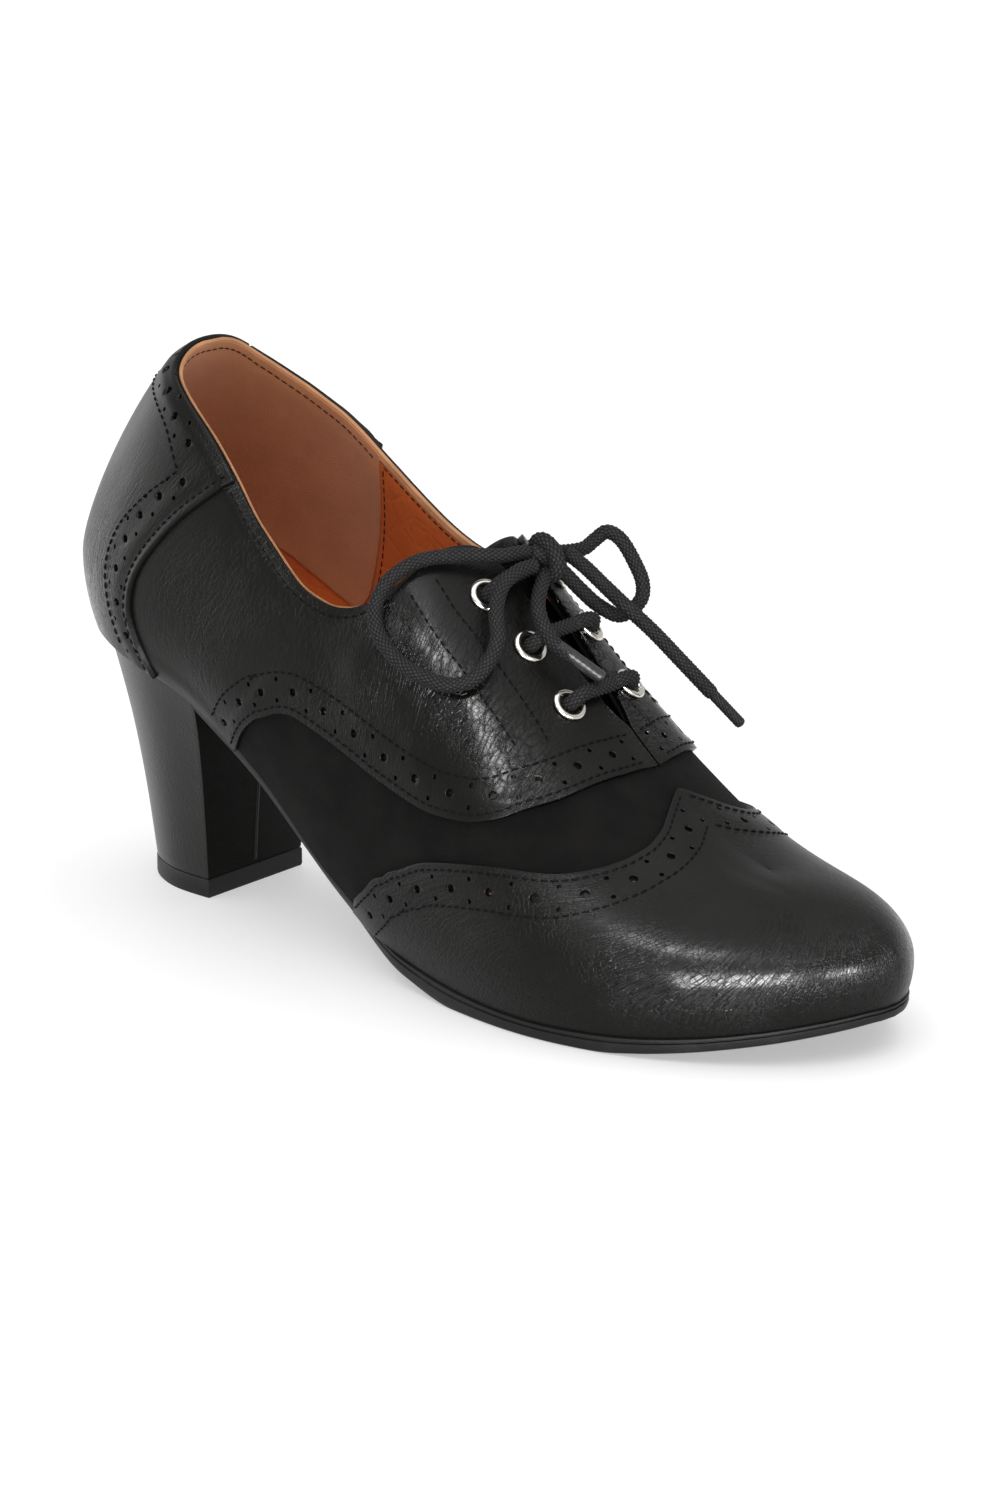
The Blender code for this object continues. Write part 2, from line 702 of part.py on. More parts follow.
def smooth_route(route, step):
    """Points about a step apart on a smooth curve through the route's points."""
    points = np.asarray(route, float)
    padded = np.concatenate([2 * points[:1] - points[1:2], points, 2 * points[-1:] - points[-2:-1]])
    fine = []
    for a, b, c, d in zip(padded, padded[1:], padded[2:], padded[3:]):
        t = np.linspace(0.0, 1.0, 20, endpoint=False)[:, None]
        bend = (2 * a - 5 * b + 4 * c - d) * t**2 + (3 * b - a - 3 * c + d) * t**3
        fine.append(b + 0.5 * ((c - a) * t + bend))
    fine = np.concatenate(fine + [points[-1:]])
    length = np.concatenate([[0.0], np.cumsum(np.linalg.norm(np.diff(fine, axis=0), axis=1))])
    at = np.linspace(0.0, length[-1], max(2, round(length[-1] / step) + 1))
    return np.stack([np.interp(at, length, fine[:, axis]) for axis in range(3)], -1)


def tube(name, points, width, look, shoe):
    """A round cord along points."""
    curve = bpy.data.curves.new(name, "CURVE")
    curve.dimensions = "3D"
    curve.bevel_depth = width / 2 * MM
    curve.bevel_resolution = 2
    curve.use_fill_caps = True
    spline = curve.splines.new("POLY")
    spline.points.add(len(points) - 1)
    for place, point in zip(spline.points, points):
        place.co = (*world(point), 1.0)
    return add_object(name, curve, look, shoe)


def inward_v(turn, v, distances):
    """Heights v at distances from a place on the last towards the spine."""
    heights = np.linspace(v, 1.0, 60)
    steps = np.linalg.norm(np.diff(rib_point(turn, heights), axis=0), axis=1)
    return np.interp(distances, np.concatenate([[0.0], np.cumsum(steps)]), heights)


def bar_half(row, side):
    """Half of a lace bar, from inside an eyelet to the spine."""
    station, v = row
    turn = turn_at(station, side)
    inward, lift = np.array(BAR_RISE).T
    heights = np.append(inward_v(turn, v, inward), 1.0)
    return lifted(turn, heights, np.append(lift, BAR_MIDDLE_LIFT))


def make_lace(shoe):
    """Three bars across the slot, then the bow with its two ends and their tips."""
    for number, row in enumerate(EYELETS, 1):
        outer = bar_half(row, OUTER_SIDE)
        inner = bar_half(row, INNER_SIDE)[::-1]
        middle = (outer[-1:] + inner[:1]) / 2
        tube(f"lace_bar_{number}", np.concatenate([outer[:-1], middle, inner[1:]]), LACE, CORD, shoe)
    tube("lace_knot", smooth_route(KNOT_ROUTE, ROUTE_STEP / 2), KNOT_WIDTH, CORD, shoe)
    tube("lace_loop_outer", smooth_route(OUTER_LOOP_ROUTE, ROUTE_STEP), LACE, CORD, shoe)
    tube("lace_loop_inner", smooth_route(INNER_LOOP_ROUTE, ROUTE_STEP), LACE, CORD, shoe)
    tube("lace_end_long", smooth_route(LONG_END_ROUTE, ROUTE_STEP), LACE, CORD, shoe)
    tube("lace_end_short", smooth_route(SHORT_END_ROUTE, ROUTE_STEP), LACE, CORD, shoe)
    tube("lace_tip_long", smooth_route(LONG_TIP_ROUTE, ROUTE_STEP), TIP_WIDTH, CORD, shoe)
    tube("lace_tip_short", smooth_route(SHORT_TIP_ROUTE, ROUTE_STEP), TIP_WIDTH, CLEAR, shoe)


def collection_named(name):
    collection = bpy.data.collections.new(name)
    bpy.context.scene.collection.children.link(collection)
    return collection


def main():
    for obj in list(bpy.data.objects):
        bpy.data.objects.remove(obj, do_unlink=True)
    parts = collection_named("heeled_brogue_shoe")
    cutters = collection_named("heeled_brogue_shoe_cutters")
    shoe = bpy.data.objects.new("shoe", None)
    parts.objects.link(shoe)

    upper = make_upper(shoe)
    make_insole(shoe)
    make_outsole(shoe)
    make_heel(shoe)
    make_wing_cap(shoe)
    make_counter(shoe)
    make_tongue(shoe)
    for side in (OUTER_SIDE, INNER_SIDE):
        quarter = make_quarter(side, shoe)
        cut_eyelet_holes(side, (upper, quarter), shoe, cutters)
        make_eyelets(side, shoe)
    make_lace(shoe)


main()
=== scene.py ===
"""Dresses the heeled brogue shoe: leathers, linings, punched holes, stitching, lace and stage.

Tables are in millimetres. A place on the last is a turn round the feather outline (0 at the heel's back,
outer side first, about 0.5 at the toe) and a height v (0 where upper meets sole, 1 on the spine over the
instep). A station is a distance from the back of the heel.
"""

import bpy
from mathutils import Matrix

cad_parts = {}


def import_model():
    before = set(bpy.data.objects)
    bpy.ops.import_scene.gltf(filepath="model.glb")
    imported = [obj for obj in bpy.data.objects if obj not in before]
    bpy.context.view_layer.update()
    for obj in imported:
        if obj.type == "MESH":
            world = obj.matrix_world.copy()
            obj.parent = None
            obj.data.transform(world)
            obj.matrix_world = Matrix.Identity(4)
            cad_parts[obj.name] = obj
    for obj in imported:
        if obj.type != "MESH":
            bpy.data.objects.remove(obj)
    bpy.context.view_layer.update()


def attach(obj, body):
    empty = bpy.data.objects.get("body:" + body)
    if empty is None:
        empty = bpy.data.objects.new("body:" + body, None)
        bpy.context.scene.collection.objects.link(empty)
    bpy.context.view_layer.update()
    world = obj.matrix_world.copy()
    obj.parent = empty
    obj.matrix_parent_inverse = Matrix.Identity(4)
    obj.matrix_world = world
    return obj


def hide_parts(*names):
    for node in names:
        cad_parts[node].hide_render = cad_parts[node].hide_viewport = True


bl_info = {
    "name": "Heeled brogue shoe",
    "version": (1, 0, 0),
    "blender": (4, 5, 0),
    "location": "View3D > Sidebar > Shoe",
    "description": "Builds the leather, lining, lace and sole of a heeled brogue shoe over its frame",
    "category": "Object",
}

import math

import bpy
import numpy as np
from mathutils import Matrix, Vector

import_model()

MM = 0.001
ORIGIN = np.array([126.3, -1.5, 0.0])
OUTER = "outer"
INNER = "inner"
SIDES = (OUTER, INNER)

# The last, one row per section from heel to toe.
SECTION_COLUMNS = ("station", "outer", "inner", "feather", "bulge", "widest", "fullness", "lean")
SECTIONS = (
    (5.0, 0.0, 0.0, 67.8, 3.2, 19.0, 2.00, 0.45),
    (8.5, -13.0, 13.0, 67.6, 3.3, 19.5, 2.00, 0.44),
    (18.0, -21.0, 21.0, 66.7, 3.9, 20.5, 2.00, 0.41),
    (32.0, -26.5, 26.0, 64.3, 4.6, 22.0, 2.00, 0.36),
    (50.0, -28.0, 26.5, 59.2, 5.5, 25.0, 2.00, 0.24),
    (75.0, -28.5, 23.5, 43.5, 6.0, 26.0, 2.00, 0.11),
    (105.0, -31.0, 22.0, 20.0, 5.8, 25.0, 2.05, 0.03),
    (133.0, -36.0, 26.0, 8.0, 3.8, 19.5, 2.25, 0.0),
    (160.0, -41.0, 34.5, 4.8, 2.5, 14.0, 2.50, 0.0),
    (180.0, -42.0, 39.0, 4.2, 2.3, 12.0, 2.30, 0.0),
    (200.0, -38.5, 38.5, 4.7, 2.1, 10.5, 2.12, 0.0),
    (218.0, -31.5, 33.5, 6.4, 2.0, 9.5, 2.12, 0.0),
    (232.0, -23.0, 27.0, 8.7, 1.8, 8.8, 2.12, 0.0),
    (243.0, -12.5, 18.0, 11.0, 1.6, 8.3, 2.12, 0.0),
    (250.0, 4.0, 4.0, 12.5, 1.5, 8.0, 2.12, 0.0),
)
SPINE_COLUMNS = ("station", "height", "across")
SPINE_ROWS = (
    (28.0, 160.0, 0.0), (60.0, 152.0, 0.0), (95.0, 132.0, 2.0), (128.0, 107.0, 5.0), (145.0, 88.0, 6.5),
    (160.0, 71.5, 7.0), (175.0, 58.0, 6.5), (190.0, 47.0, 5.0), (205.0, 39.5, 4.0), (218.0, 35.5, 3.0),
)
SPINE_BACK, SPINE_FRONT, SPINE_SOFTNESS = 28.0, 214.0, 10.0
WIDEST_V = 0.25
LEAN_ONSET = 8.0
HEEL_BACK, TOE_TIP = 5.0, 250.0

# Edges of the panels.
TOPLINE_COLUMNS = ("station", "outer", "inner")
TOPLINE = (
    (5.0, 0.690, 0.690), (18.0, 0.642, 0.622), (32.0, 0.612, 0.572), (47.0, 0.582, 0.541),
    (65.0, 0.537, 0.530), (77.0, 0.508, 0.538), (90.0, 0.500, 0.557), (100.0, 0.520, 0.575),
    (108.0, 0.555, 0.594), (115.0, 0.615, 0.632), (119.5, 0.685, 0.680), (122.0, 0.755, 0.725),
    (124.5, 0.825, 0.775), (127.0, 0.875, 0.840), (129.5, 0.912, 0.895), (132.0, 0.925, 0.925),
    (136.0, 0.946, 0.946), (150.0, 0.966, 0.966), (163.0, 0.984, 0.984), (169.0, 1.000, 1.000),
)
# Front edge of the counter: share of the collar's height, and station.
COUNTER_FRONT = (
    (0.00, 42.5), (0.06, 41.5), (0.15, 39.5), (0.28, 38.4), (0.40, 39.6), (0.50, 42.6), (0.60, 47.0),
    (0.72, 52.6), (0.86, 59.4), (1.00, 65.5),
)
# Scalloped lower edge of the quarters: station and v.
QUARTER_EDGE = (
    (70.0, 0.000), (80.0, 0.170), (86.0, 0.250), (97.0, 0.320), (111.0, 0.350), (128.0, 0.375),
    (142.0, 0.400), (155.0, 0.458), (163.0, 0.532), (168.5, 0.625), (173.0, 0.725), (177.0, 0.910),
)
QUARTER_TIP = (178.0, 0.990)
# Share of the quarter's columns that lie behind a station.
QUARTER_SPACING = ((0.34, 108.0), (0.66, 136.0), (0.82, 164.0), (1.0, 178.0))
# Winged edge of the cap: v and station.
CAP_EDGE = (
    (0.000, 112.0), (0.055, 116.0), (0.135, 121.5), (0.250, 129.5), (0.280, 136.0), (0.310, 142.0),
    (0.355, 152.0), (0.400, 160.5), (0.455, 169.0), (0.500, 175.5), (0.550, 181.5), (0.600, 185.5),
    (0.665, 189.5), (0.730, 192.0), (0.795, 193.0), (0.860, 192.0), (0.915, 189.5), (1.000, 184.5),
)
SEAM_V = 0.9985
# Lifts of the panels above the last, of the backing seen in their holes, and of their lower edges.
PANEL_LIFT = 1.5
COUNTER_LIFT = 2.2
BACKING_LIFT = 0.75
PANEL_RISE = 0.1
# Gap under the panels, and how far their cut edges are rounded.
PANEL_GAP, PANEL_EDGE, COUNTER_EDGE = 0.05, 0.25, 0.6
# Points of a sheet that lie closer than this are merged.
SHEET_MERGE = 0.02
# Pitch of the holes in cap and counter, as a share of that in the quarters.
CAP_SPREAD, COUNTER_SPREAD = 1.09, 0.79

# Relief of the panels: swell and width of the punched strips, step of the facing, rolled edge of the counter,
# seam at the throat, and the leather pared away at the collar.
STRIP_SWELL = 0.28
CAP_STRIP, COUNTER_STRIP, QUARTER_STRIP_V = 13.0, 9.0, 0.085
FACING_STEP, FACING_EASE_V = 0.15, 0.011
COUNTER_ROLL, COUNTER_ROLL_WIDTH = 0.75, 2.6
SEAM_SINK = 0.5
CAP_LAP_IN, CAP_LAP_DOWN = 1.3, 2.4
PARED_OUTSIDE, PARED_INSIDE, PARED_BAND_V = 1.15, 0.67, 0.035
HOLES_FORWARD = 1.6

# The doubled facing, as station and v: its back edge and its front row of stitches.
FACING_BACK = (
    (118.0, 0.650), (123.0, 0.675), (133.0, 0.668), (145.0, 0.683), (161.0, 0.690), (168.0, 0.690),
)
FACING_FRONT_ROW = (
    (126.6, 0.760), (134.0, 0.758), (140.0, 0.770), (149.0, 0.787), (158.0, 0.795), (164.3, 0.787),
)

# The heel grip inside the shoe: its front seam as share of the collar's height and station,
# and its lower edge as station and v.
GRIP_FRONT = (
    (0.28, 60.0), (0.38, 63.5), (0.51, 66.1), (0.66, 67.7), (0.80, 68.2), (1.0, 68.2),
)
GRIP_LOW = (
    (5.0, 0.270), (28.0, 0.227), (35.0, 0.200), (43.0, 0.165), (52.0, 0.150), (60.0, 0.157),
    (70.0, 0.160),
)

# The linings under the last's surface: their lifts, the lifts of their seams, and how far in v they stay
# short of the lacing slot and of the collar.
LINING_LIFT, GRIP_LIFT = -1.02, -2.03
LINING_SEAM_LIFT, GRIP_SEAM_LIFT = -2.1, -2.52
SLOT_SHORT_V, LINING_BELOW_V, SEAM_BELOW_V = 0.22, 0.012, 0.018

# Section of the lining's cut edge: drop below the collar in v, and lift.
RIM_SECTION = ((0.012, -0.6), (0.0, -0.55), (0.001, -1.4), (0.010, -1.9))

# Inner seam of the counter's strip and the middle of its holes, below and above the corner.
COUNTER_SEAM_LOW = (
    (46.7, 0.480), (43.5, 0.455), (37.5, 0.413), (31.7, 0.357), (29.3, 0.307), (29.0, 0.258),
    (29.3, 0.175), (30.2, 0.100), (31.5, 0.030),
)
COUNTER_SEAM_TOP = ((46.7, 0.480), (35.8, 0.535), (24.4, 0.568), (9.9, 0.595), (5.6, 0.600))
COUNTER_HOLES_LOW = (
    (53.5, 0.492), (49.5, 0.465), (43.0, 0.422), (37.4, 0.370), (34.4, 0.315), (33.7, 0.255),
    (34.2, 0.175), (35.6, 0.100), (36.8, 0.040),
)
COUNTER_HOLES_TOP = (
    (55.0, 0.508), (46.0, 0.538), (36.0, 0.568), (24.5, 0.606), (10.0, 0.640), (5.6, 0.646),
)

# Soft dents and folds in the leather: side, two places, depth and width.
FOLDS = (
    (OUTER, 104.0, 0.47, 112.0, 0.40, -0.50, 5.0),
    (OUTER, 112.0, 0.52, 119.0, 0.45, 0.40, 4.5),
    (OUTER, 122.0, 0.62, 131.0, 0.56, -0.35, 3.5),
    (OUTER, 140.0, 0.62, 150.0, 0.55, -0.30, 3.0),
    (OUTER, 134.0, 0.50, 141.0, 0.45, 0.25, 3.0),
    (OUTER, 114.0, 0.565, 132.0, 0.59, 1.30, 6.0),
    (OUTER, 148.0, 0.70, 168.0, 0.71, 0.80, 5.5),
    (OUTER, 52.0, 0.20, 70.0, 0.36, -0.25, 5.0),
    (OUTER, 20.0, 0.35, 27.0, 0.48, -0.25, 5.0),
    (OUTER, 157.0, 0.35, 180.0, 0.25, -0.16, 2.0),
    (OUTER, 169.0, 0.38, 188.0, 0.26, -0.14, 2.0),
    (OUTER, 204.0, 0.40, 211.0, 0.31, -0.10, 1.8),
    (OUTER, 215.0, 0.40, 222.0, 0.26, -0.10, 1.8),
    (OUTER, 208.0, 0.91, 247.0, 0.56, -0.14, 2.2),
    (OUTER, 223.0, 0.75, 243.0, 0.63, 0.12, 2.0),
    (INNER, 106.0, 0.52, 116.0, 0.44, -0.40, 5.0),
    (INNER, 124.0, 0.60, 134.0, 0.52, -0.35, 3.5),
    (INNER, 142.0, 0.62, 151.0, 0.55, 0.25, 3.0),
    (INNER, 168.0, 0.40, 188.0, 0.28, -0.20, 2.6),
    (INNER, 54.0, 0.22, 72.0, 0.38, -0.25, 5.0),
)

# Where the leather is rubbed bright: side, two places and a width.
SHINES = (
    (OUTER, 117.0, 0.595, 134.0, 0.625, 5.5),
    (OUTER, 134.0, 0.625, 166.0, 0.675, 7.0),
    (OUTER, 170.0, 0.69, 182.0, 0.77, 4.0),
    (OUTER, 206.0, 0.28, 230.0, 0.24, 6.0),
    (OUTER, 204.0, 0.37, 226.0, 0.34, 7.0),
    (OUTER, 226.0, 0.34, 249.0, 0.345, 6.5),
    (OUTER, 12.0, 0.06, 26.0, 0.26, 11.0),
    (INNER, 116.0, 0.58, 166.0, 0.68, 8.0),
    (INNER, 130.0, 0.93, 172.0, 0.95, 6.0),
    (INNER, 222.0, 0.345, 249.0, 0.36, 6.5),
    (INNER, 12.0, 0.06, 26.0, 0.26, 11.0),
)

# Underside of the sole: station and height over the floor.
SOLE_BOTTOM = (
    (53.0, 53.8), (75.0, 39.4), (90.0, 27.4), (105.0, 16.2), (120.0, 8.0), (135.0, 3.0), (152.0, 0.0),
    (196.0, 0.0), (206.0, 0.9), (218.0, 2.6), (232.0, 5.2), (243.0, 7.6), (250.0, 9.2),
)
SOLE_LIP, WAIST_INSET = 2.1, 1.6
SEAT_GAP = 0.05
# The sole's edge from floor to upper: share of its height, and how far it is drawn in.
SOLE_PROFILE = (
    (0.00, 0.90), (0.08, 0.35), (0.30, 0.10), (0.62, 0.10), (0.68, 0.50), (0.74, 0.50), (0.80, 0.00),
    (0.94, 0.05), (1.00, 0.50),
)
# The insole's edge from below: inset from the feather line, and height.
INSOLE_PROFILE = ((3.2, 0.0), (2.3, 1.5), (2.5, 2.3), (3.6, 2.5))
BREAST = 53.0
TOP_PIECE = 5.0
HEEL_FOOT = TOP_PIECE + 0.25
HEEL_INSET = 0.4
# The heel's top piece stands out a little beyond the heel, and its edges are eased.
TIP_GROWTH, TIP_EASE_LOW, TIP_EASE_HIGH = 1.012, 0.6, 0.35
# Section of the seam down the heel's breast: outwards and sideways.
HEEL_SEAM = ((0.0, -0.55), (0.32, -0.12), (0.32, 0.12), (0.0, 0.55), (-0.3, 0.0))
HEEL_COLUMNS = ("rise", "width", "length", "breast")
HEEL_TAPER = (
    (0.00, 0.670, 0.630, 49.0), (0.30, 0.735, 0.710, 50.0), (0.60, 0.820, 0.815, 51.2),
    (0.85, 0.920, 0.930, 52.4), (1.00, 1.000, 1.000, BREAST),
)

# Eyelets and lace. Routes are station, across and height.
EYELETS = ((136.6, 0.852), (148.0, 0.888), (160.2, 0.898))
EYELET_LIFT = 0.35
# Section of an eyelet: radius and height.
EYELET_PROFILE = (
    (2.60, 0.60), (2.62, 1.50), (2.72, 1.95), (2.92, 2.25), (3.25, 2.40), (3.75, 2.38), (4.15, 2.25),
    (4.38, 2.00), (4.42, 1.70), (4.30, 1.45), (3.00, 1.40), (2.90, -2.05), (2.60, -2.05),
)
# The tongue's ends as stations, its lift, the height of its roll, its thickness and its rounded edge.
TONGUE_FOOT, TONGUE_TOP = 176.0, 129.4
TONGUE_LIFT, TONGUE_ROLL = -3.3, 4.4
TONGUE_THICK, TONGUE_EDGE = 1.9, 0.5
# Section of the tongue: side, height v and share of the roll at its top.
TONGUE_SECTION = (
    (OUTER, 0.80, 0.0), (OUTER, 0.87, 0.0), (OUTER, 0.93, 0.2), (OUTER, 0.98, 0.8), (INNER, 0.97, 1.0),
    (INNER, 0.92, 0.9), (INNER, 0.86, 0.4), (INNER, 0.80, 0.0),
)
BAR_RISE = ((0.0, -1.0), (0.1, 1.6), (0.7, 3.5), (2.2, 5.0), (4.5, 5.2), (7.0, 4.5))
BAR_MIDDLE_LIFT = 4.0
KNOT_CENTRE = (143.2, 5.6, 103.2)
# The strand round the knot: its reach along and off the instep, and sideways. Then the strand inside it.
KNOT_REACH, KNOT_ASIDE = (4.7, 3.1), 1.3
KNOT_CORE = ((-2.6, -3.4, 1.4), (-0.6, -1.0, 0.6), (0.6, 1.2, -0.4), (1.6, 3.8, -1.6))
OUTER_LOOP_ROUTE = (
    (140.6, 2.4, 105.0), (138.0, -5.8, 105.0), (132.0, -13.6, 105.6), (124.9, -21.0, 104.6),
    (120.2, -27.2, 100.0), (119.2, -31.2, 93.6), (122.4, -33.2, 87.6), (129.4, -34.0, 82.6),
    (136.8, -33.2, 79.8), (143.0, -31.2, 78.6), (147.2, -27.4, 80.0), (148.8, -23.2, 83.8),
    (148.4, -19.4, 88.8), (145.4, -16.4, 94.4), (143.4, -11.8, 99.2), (143.2, -5.8, 101.8),
    (143.8, 0.8, 102.4),
)
INNER_LOOP_ROUTE = (
    (140.6, 9.6, 103.4), (140.6, 16.0, 102.2), (141.2, 22.6, 101.8), (142.4, 25.4, 103.6),
    (145.0, 27.2, 105.8), (148.6, 28.4, 104.0), (152.4, 29.0, 98.8), (155.5, 28.4, 94.0),
    (156.0, 26.6, 89.8), (153.6, 22.0, 86.8), (150.2, 17.6, 89.6), (148.0, 13.4, 94.0),
    (146.0, 9.6, 98.6), (144.2, 6.4, 102.4),
)
LONG_END_ROUTE = (
    (144.6, 11.6, 103.6), (147.4, 15.6, 99.4), (151.5, 18.4, 94.6), (158.0, 18.8, 90.4),
    (163.5, 22.6, 84.2), (169.0, 26.4, 77.2), (174.8, 30.8, 69.4),
)
LONG_TIP_ROUTE = ((174.4, 30.5, 70.0), (181.5, 35.9, 60.4))
SHORT_END_ROUTE = (
    (144.8, 3.0, 99.4), (146.8, -1.4, 96.6), (149.3, -5.0, 93.0), (153.2, -6.6, 88.4),
    (156.8, -5.8, 84.8),
)
SHORT_TIP_ROUTE = ((156.0, -6.1, 85.6), (165.8, 0.0, 77.4))

# View of the shoe: the point looked at, its place in a frame of 1000 by 1500, and the lens in pixels.
FRAME_WIDTH, FRAME_HEIGHT = 1000.0, 1500.0
LOOK_AT = (0.0037, 0.0015, 0.070)
LOOK_PIXEL = (491.0, 682.0)
LENS_PIXELS = 4410.0
VIEW_AZIMUTH, VIEW_ELEVATION, VIEW_DISTANCE = 40.0, 16.2, 1.1

# Soft boxes in metres, seen as glints in the leather: name, place, what it points at, width and height.
SOFT_BOXES = (
    ("instep", (0.14, -0.60, 0.87), (0.02, -0.01, 0.08), (0.19, 0.19)),
    ("front", (0.565, -0.77, 0.27), (0.09, -0.01, 0.03), (0.60, 0.30)),
    ("right", (0.946, -0.21, 0.246), (0.10, -0.01, 0.03), (0.30, 0.20)),
    ("side", (-1.50, -0.35, 0.25), (-0.10, -0.01, 0.07), (1.80, 0.80)),
)


def cubic(share, step, start, end, start_slope, end_slope):
    """Value of one cubic piece at a share of its step."""
    ends = (2 * share**3 - 3 * share**2 + 1) * start + (3 * share**2 - 2 * share**3) * end
    turns = (share**3 - 2 * share**2 + share) * start_slope + (share**3 - share**2) * end_slope
    return ends + step * turns


def smooth_column(table, column=1):
    """A cubic through one column of a table that never overshoots, as a function of the first column."""
    x = np.array([row[0] for row in table])
    y = np.array([row[column] for row in table])
    step = np.diff(x)
    rise = np.diff(y) / step
    slope = np.zeros_like(y)
    slope[0] = rise[0]
    slope[-1] = rise[-1]
    for i in range(1, len(x) - 1):
        if rise[i - 1] * rise[i] > 0:
            before = 2 * step[i] + step[i - 1]
            after = step[i] + 2 * step[i - 1]
            slope[i] = (before + after) / (before / rise[i - 1] + after / rise[i])

    def value(at):
        at = np.clip(np.asarray(at, float), x[0], x[-1])
        i = np.clip(np.searchsorted(x, at, side="right") - 1, 0, len(x) - 2)
        return cubic((at - x[i]) / step[i], step[i], y[i], y[i + 1], slope[i], slope[i + 1])

    return value


def closed_spline(points):
    """A smooth closed curve through points, as a function of a turn from 0 to 1."""
    points = np.asarray(points, float)
    count = len(points)
    step = np.sqrt(np.linalg.norm(np.roll(points, -1, axis=0) - points, axis=1))
    knots = np.concatenate([[0.0], np.cumsum(step)])
    matrix = np.zeros((count, count))
    right = np.zeros_like(points)
    for i in range(count):
        after = (i + 1) % count
        matrix[i, i - 1] = step[i]
        matrix[i, i] = 2 * (step[i - 1] + step[i])
        matrix[i, after] = step[i - 1]
        rise_before = (points[i] - points[i - 1]) / step[i - 1]
        rise_after = (points[after] - points[i]) / step[i]
        right[i] = 3 * (step[i] * rise_before + step[i - 1] * rise_after)
    slope = np.linalg.solve(matrix, right)

    def value(turn):
        at = (np.asarray(turn, float) % 1.0) * knots[-1]
        i = np.clip(np.searchsorted(knots, at, side="right") - 1, 0, count - 1)
        after = (i + 1) % count
        share = ((at - knots[i]) / step[i])[..., None]
        return cubic(share, step[i][..., None], points[i], points[after], slope[i], slope[after])

    return value


def columns_of(table, columns):
    return {name: smooth_column(table, column) for column, name in enumerate(columns) if column}


LAST = columns_of(SECTIONS, SECTION_COLUMNS)
SPINE = columns_of(SPINE_ROWS, SPINE_COLUMNS)
TOP_EDGE = columns_of(TOPLINE, TOPLINE_COLUMNS)
HEEL = columns_of(HEEL_TAPER, HEEL_COLUMNS)
COUNTER = smooth_column(COUNTER_FRONT)
QUARTER_LOW = smooth_column(QUARTER_EDGE)
CAP_BACK = smooth_column(CAP_EDGE)
FACING = smooth_column(FACING_BACK)
GRIP = smooth_column(GRIP_FRONT)
GRIP_FOOT = smooth_column(GRIP_LOW)
SOLE_LOW = smooth_column(SOLE_BOTTOM)
OUTLINE = closed_spline(
    [(row[0], row[1]) for row in SECTIONS] + [(row[0], row[2]) for row in reversed(SECTIONS[1:-1])]
)
TURNS = np.linspace(0.0, 1.0, 4001)
OUTLINE_STATIONS = OUTLINE(TURNS)[:, 0]
TOE_INDEX = int(OUTLINE_STATIONS.argmax())
TOE_TURN = float(TURNS[TOE_INDEX])


def fade(value, start, end):
    """A smooth rise from 0 at start to 1 at end."""
    share = np.clip((value - start) / (end - start), 0.0, 1.0)
    return share * share * (3.0 - 2.0 * share)


def lengths_along(path):
    """Distance of each point of a path from its start."""
    return np.concatenate([[0.0], np.cumsum(np.linalg.norm(np.diff(path, axis=0), axis=1))])


def turn_at(station, side):
    """Turn of the outline at a station on one side."""
    if side == OUTER:
        return np.interp(station, OUTLINE_STATIONS[: TOE_INDEX + 1], TURNS[: TOE_INDEX + 1])
    return np.interp(station, OUTLINE_STATIONS[TOE_INDEX:][::-1], TURNS[TOE_INDEX:][::-1])


def station_of(turn):
    return OUTLINE(turn)[..., 0]


def spine_station(station):
    """Where a rib meets the spine: ribs of the heel and toe fan out from its two ends."""
    soft = SPINE_SOFTNESS
    held = SPINE_BACK + soft * np.log1p(np.exp((station - SPINE_BACK) / soft))
    return SPINE_FRONT - soft * np.log1p(np.exp((SPINE_FRONT - held) / soft))


def rib_point(turn, v):
    """A point of the last: station, across and height."""
    turn, v = np.broadcast_arrays(np.asarray(turn, float), np.asarray(v, float))
    outline = OUTLINE(turn)
    station = outline[..., 0]
    spine_x = spine_station(station)
    spine_y = SPINE["across"](spine_x)
    along = station - spine_x
    across = outline[..., 1] - spine_y
    reach = np.hypot(along, across)
    feather = LAST["feather"](station)
    widest = feather + LAST["widest"](station)
    bulge = LAST["bulge"](station)
    power = 2.0 / LAST["fullness"](station)
    low_share = np.clip(v / WIDEST_V, 0.0, 1.0)
    phase = np.clip((v - WIDEST_V) / (1.0 - WIDEST_V), 0.0, 1.0) * math.pi / 2
    low_reach = reach + bulge * (1.0 - (1.0 - low_share) ** 2)
    high_reach = (reach + bulge) * np.clip(np.cos(phase), 0.0, 1.0) ** power
    low_height = feather + (widest - feather) * low_share
    high_height = widest + (SPINE["height"](spine_x) - widest) * np.sin(phase) ** power
    out = np.where(v < WIDEST_V, low_reach, high_reach) / reach
    height = np.where(v < WIDEST_V, low_height, high_height)
    above = np.clip(height - widest, 0.0, None)
    lean = LAST["lean"](station) * above**2 / (above + LEAN_ONSET)
    return np.stack([spine_x + along * out + lean, spine_y + across * out, height], -1)


def unit(vectors):
    return vectors / np.linalg.norm(vectors, axis=-1, keepdims=True)


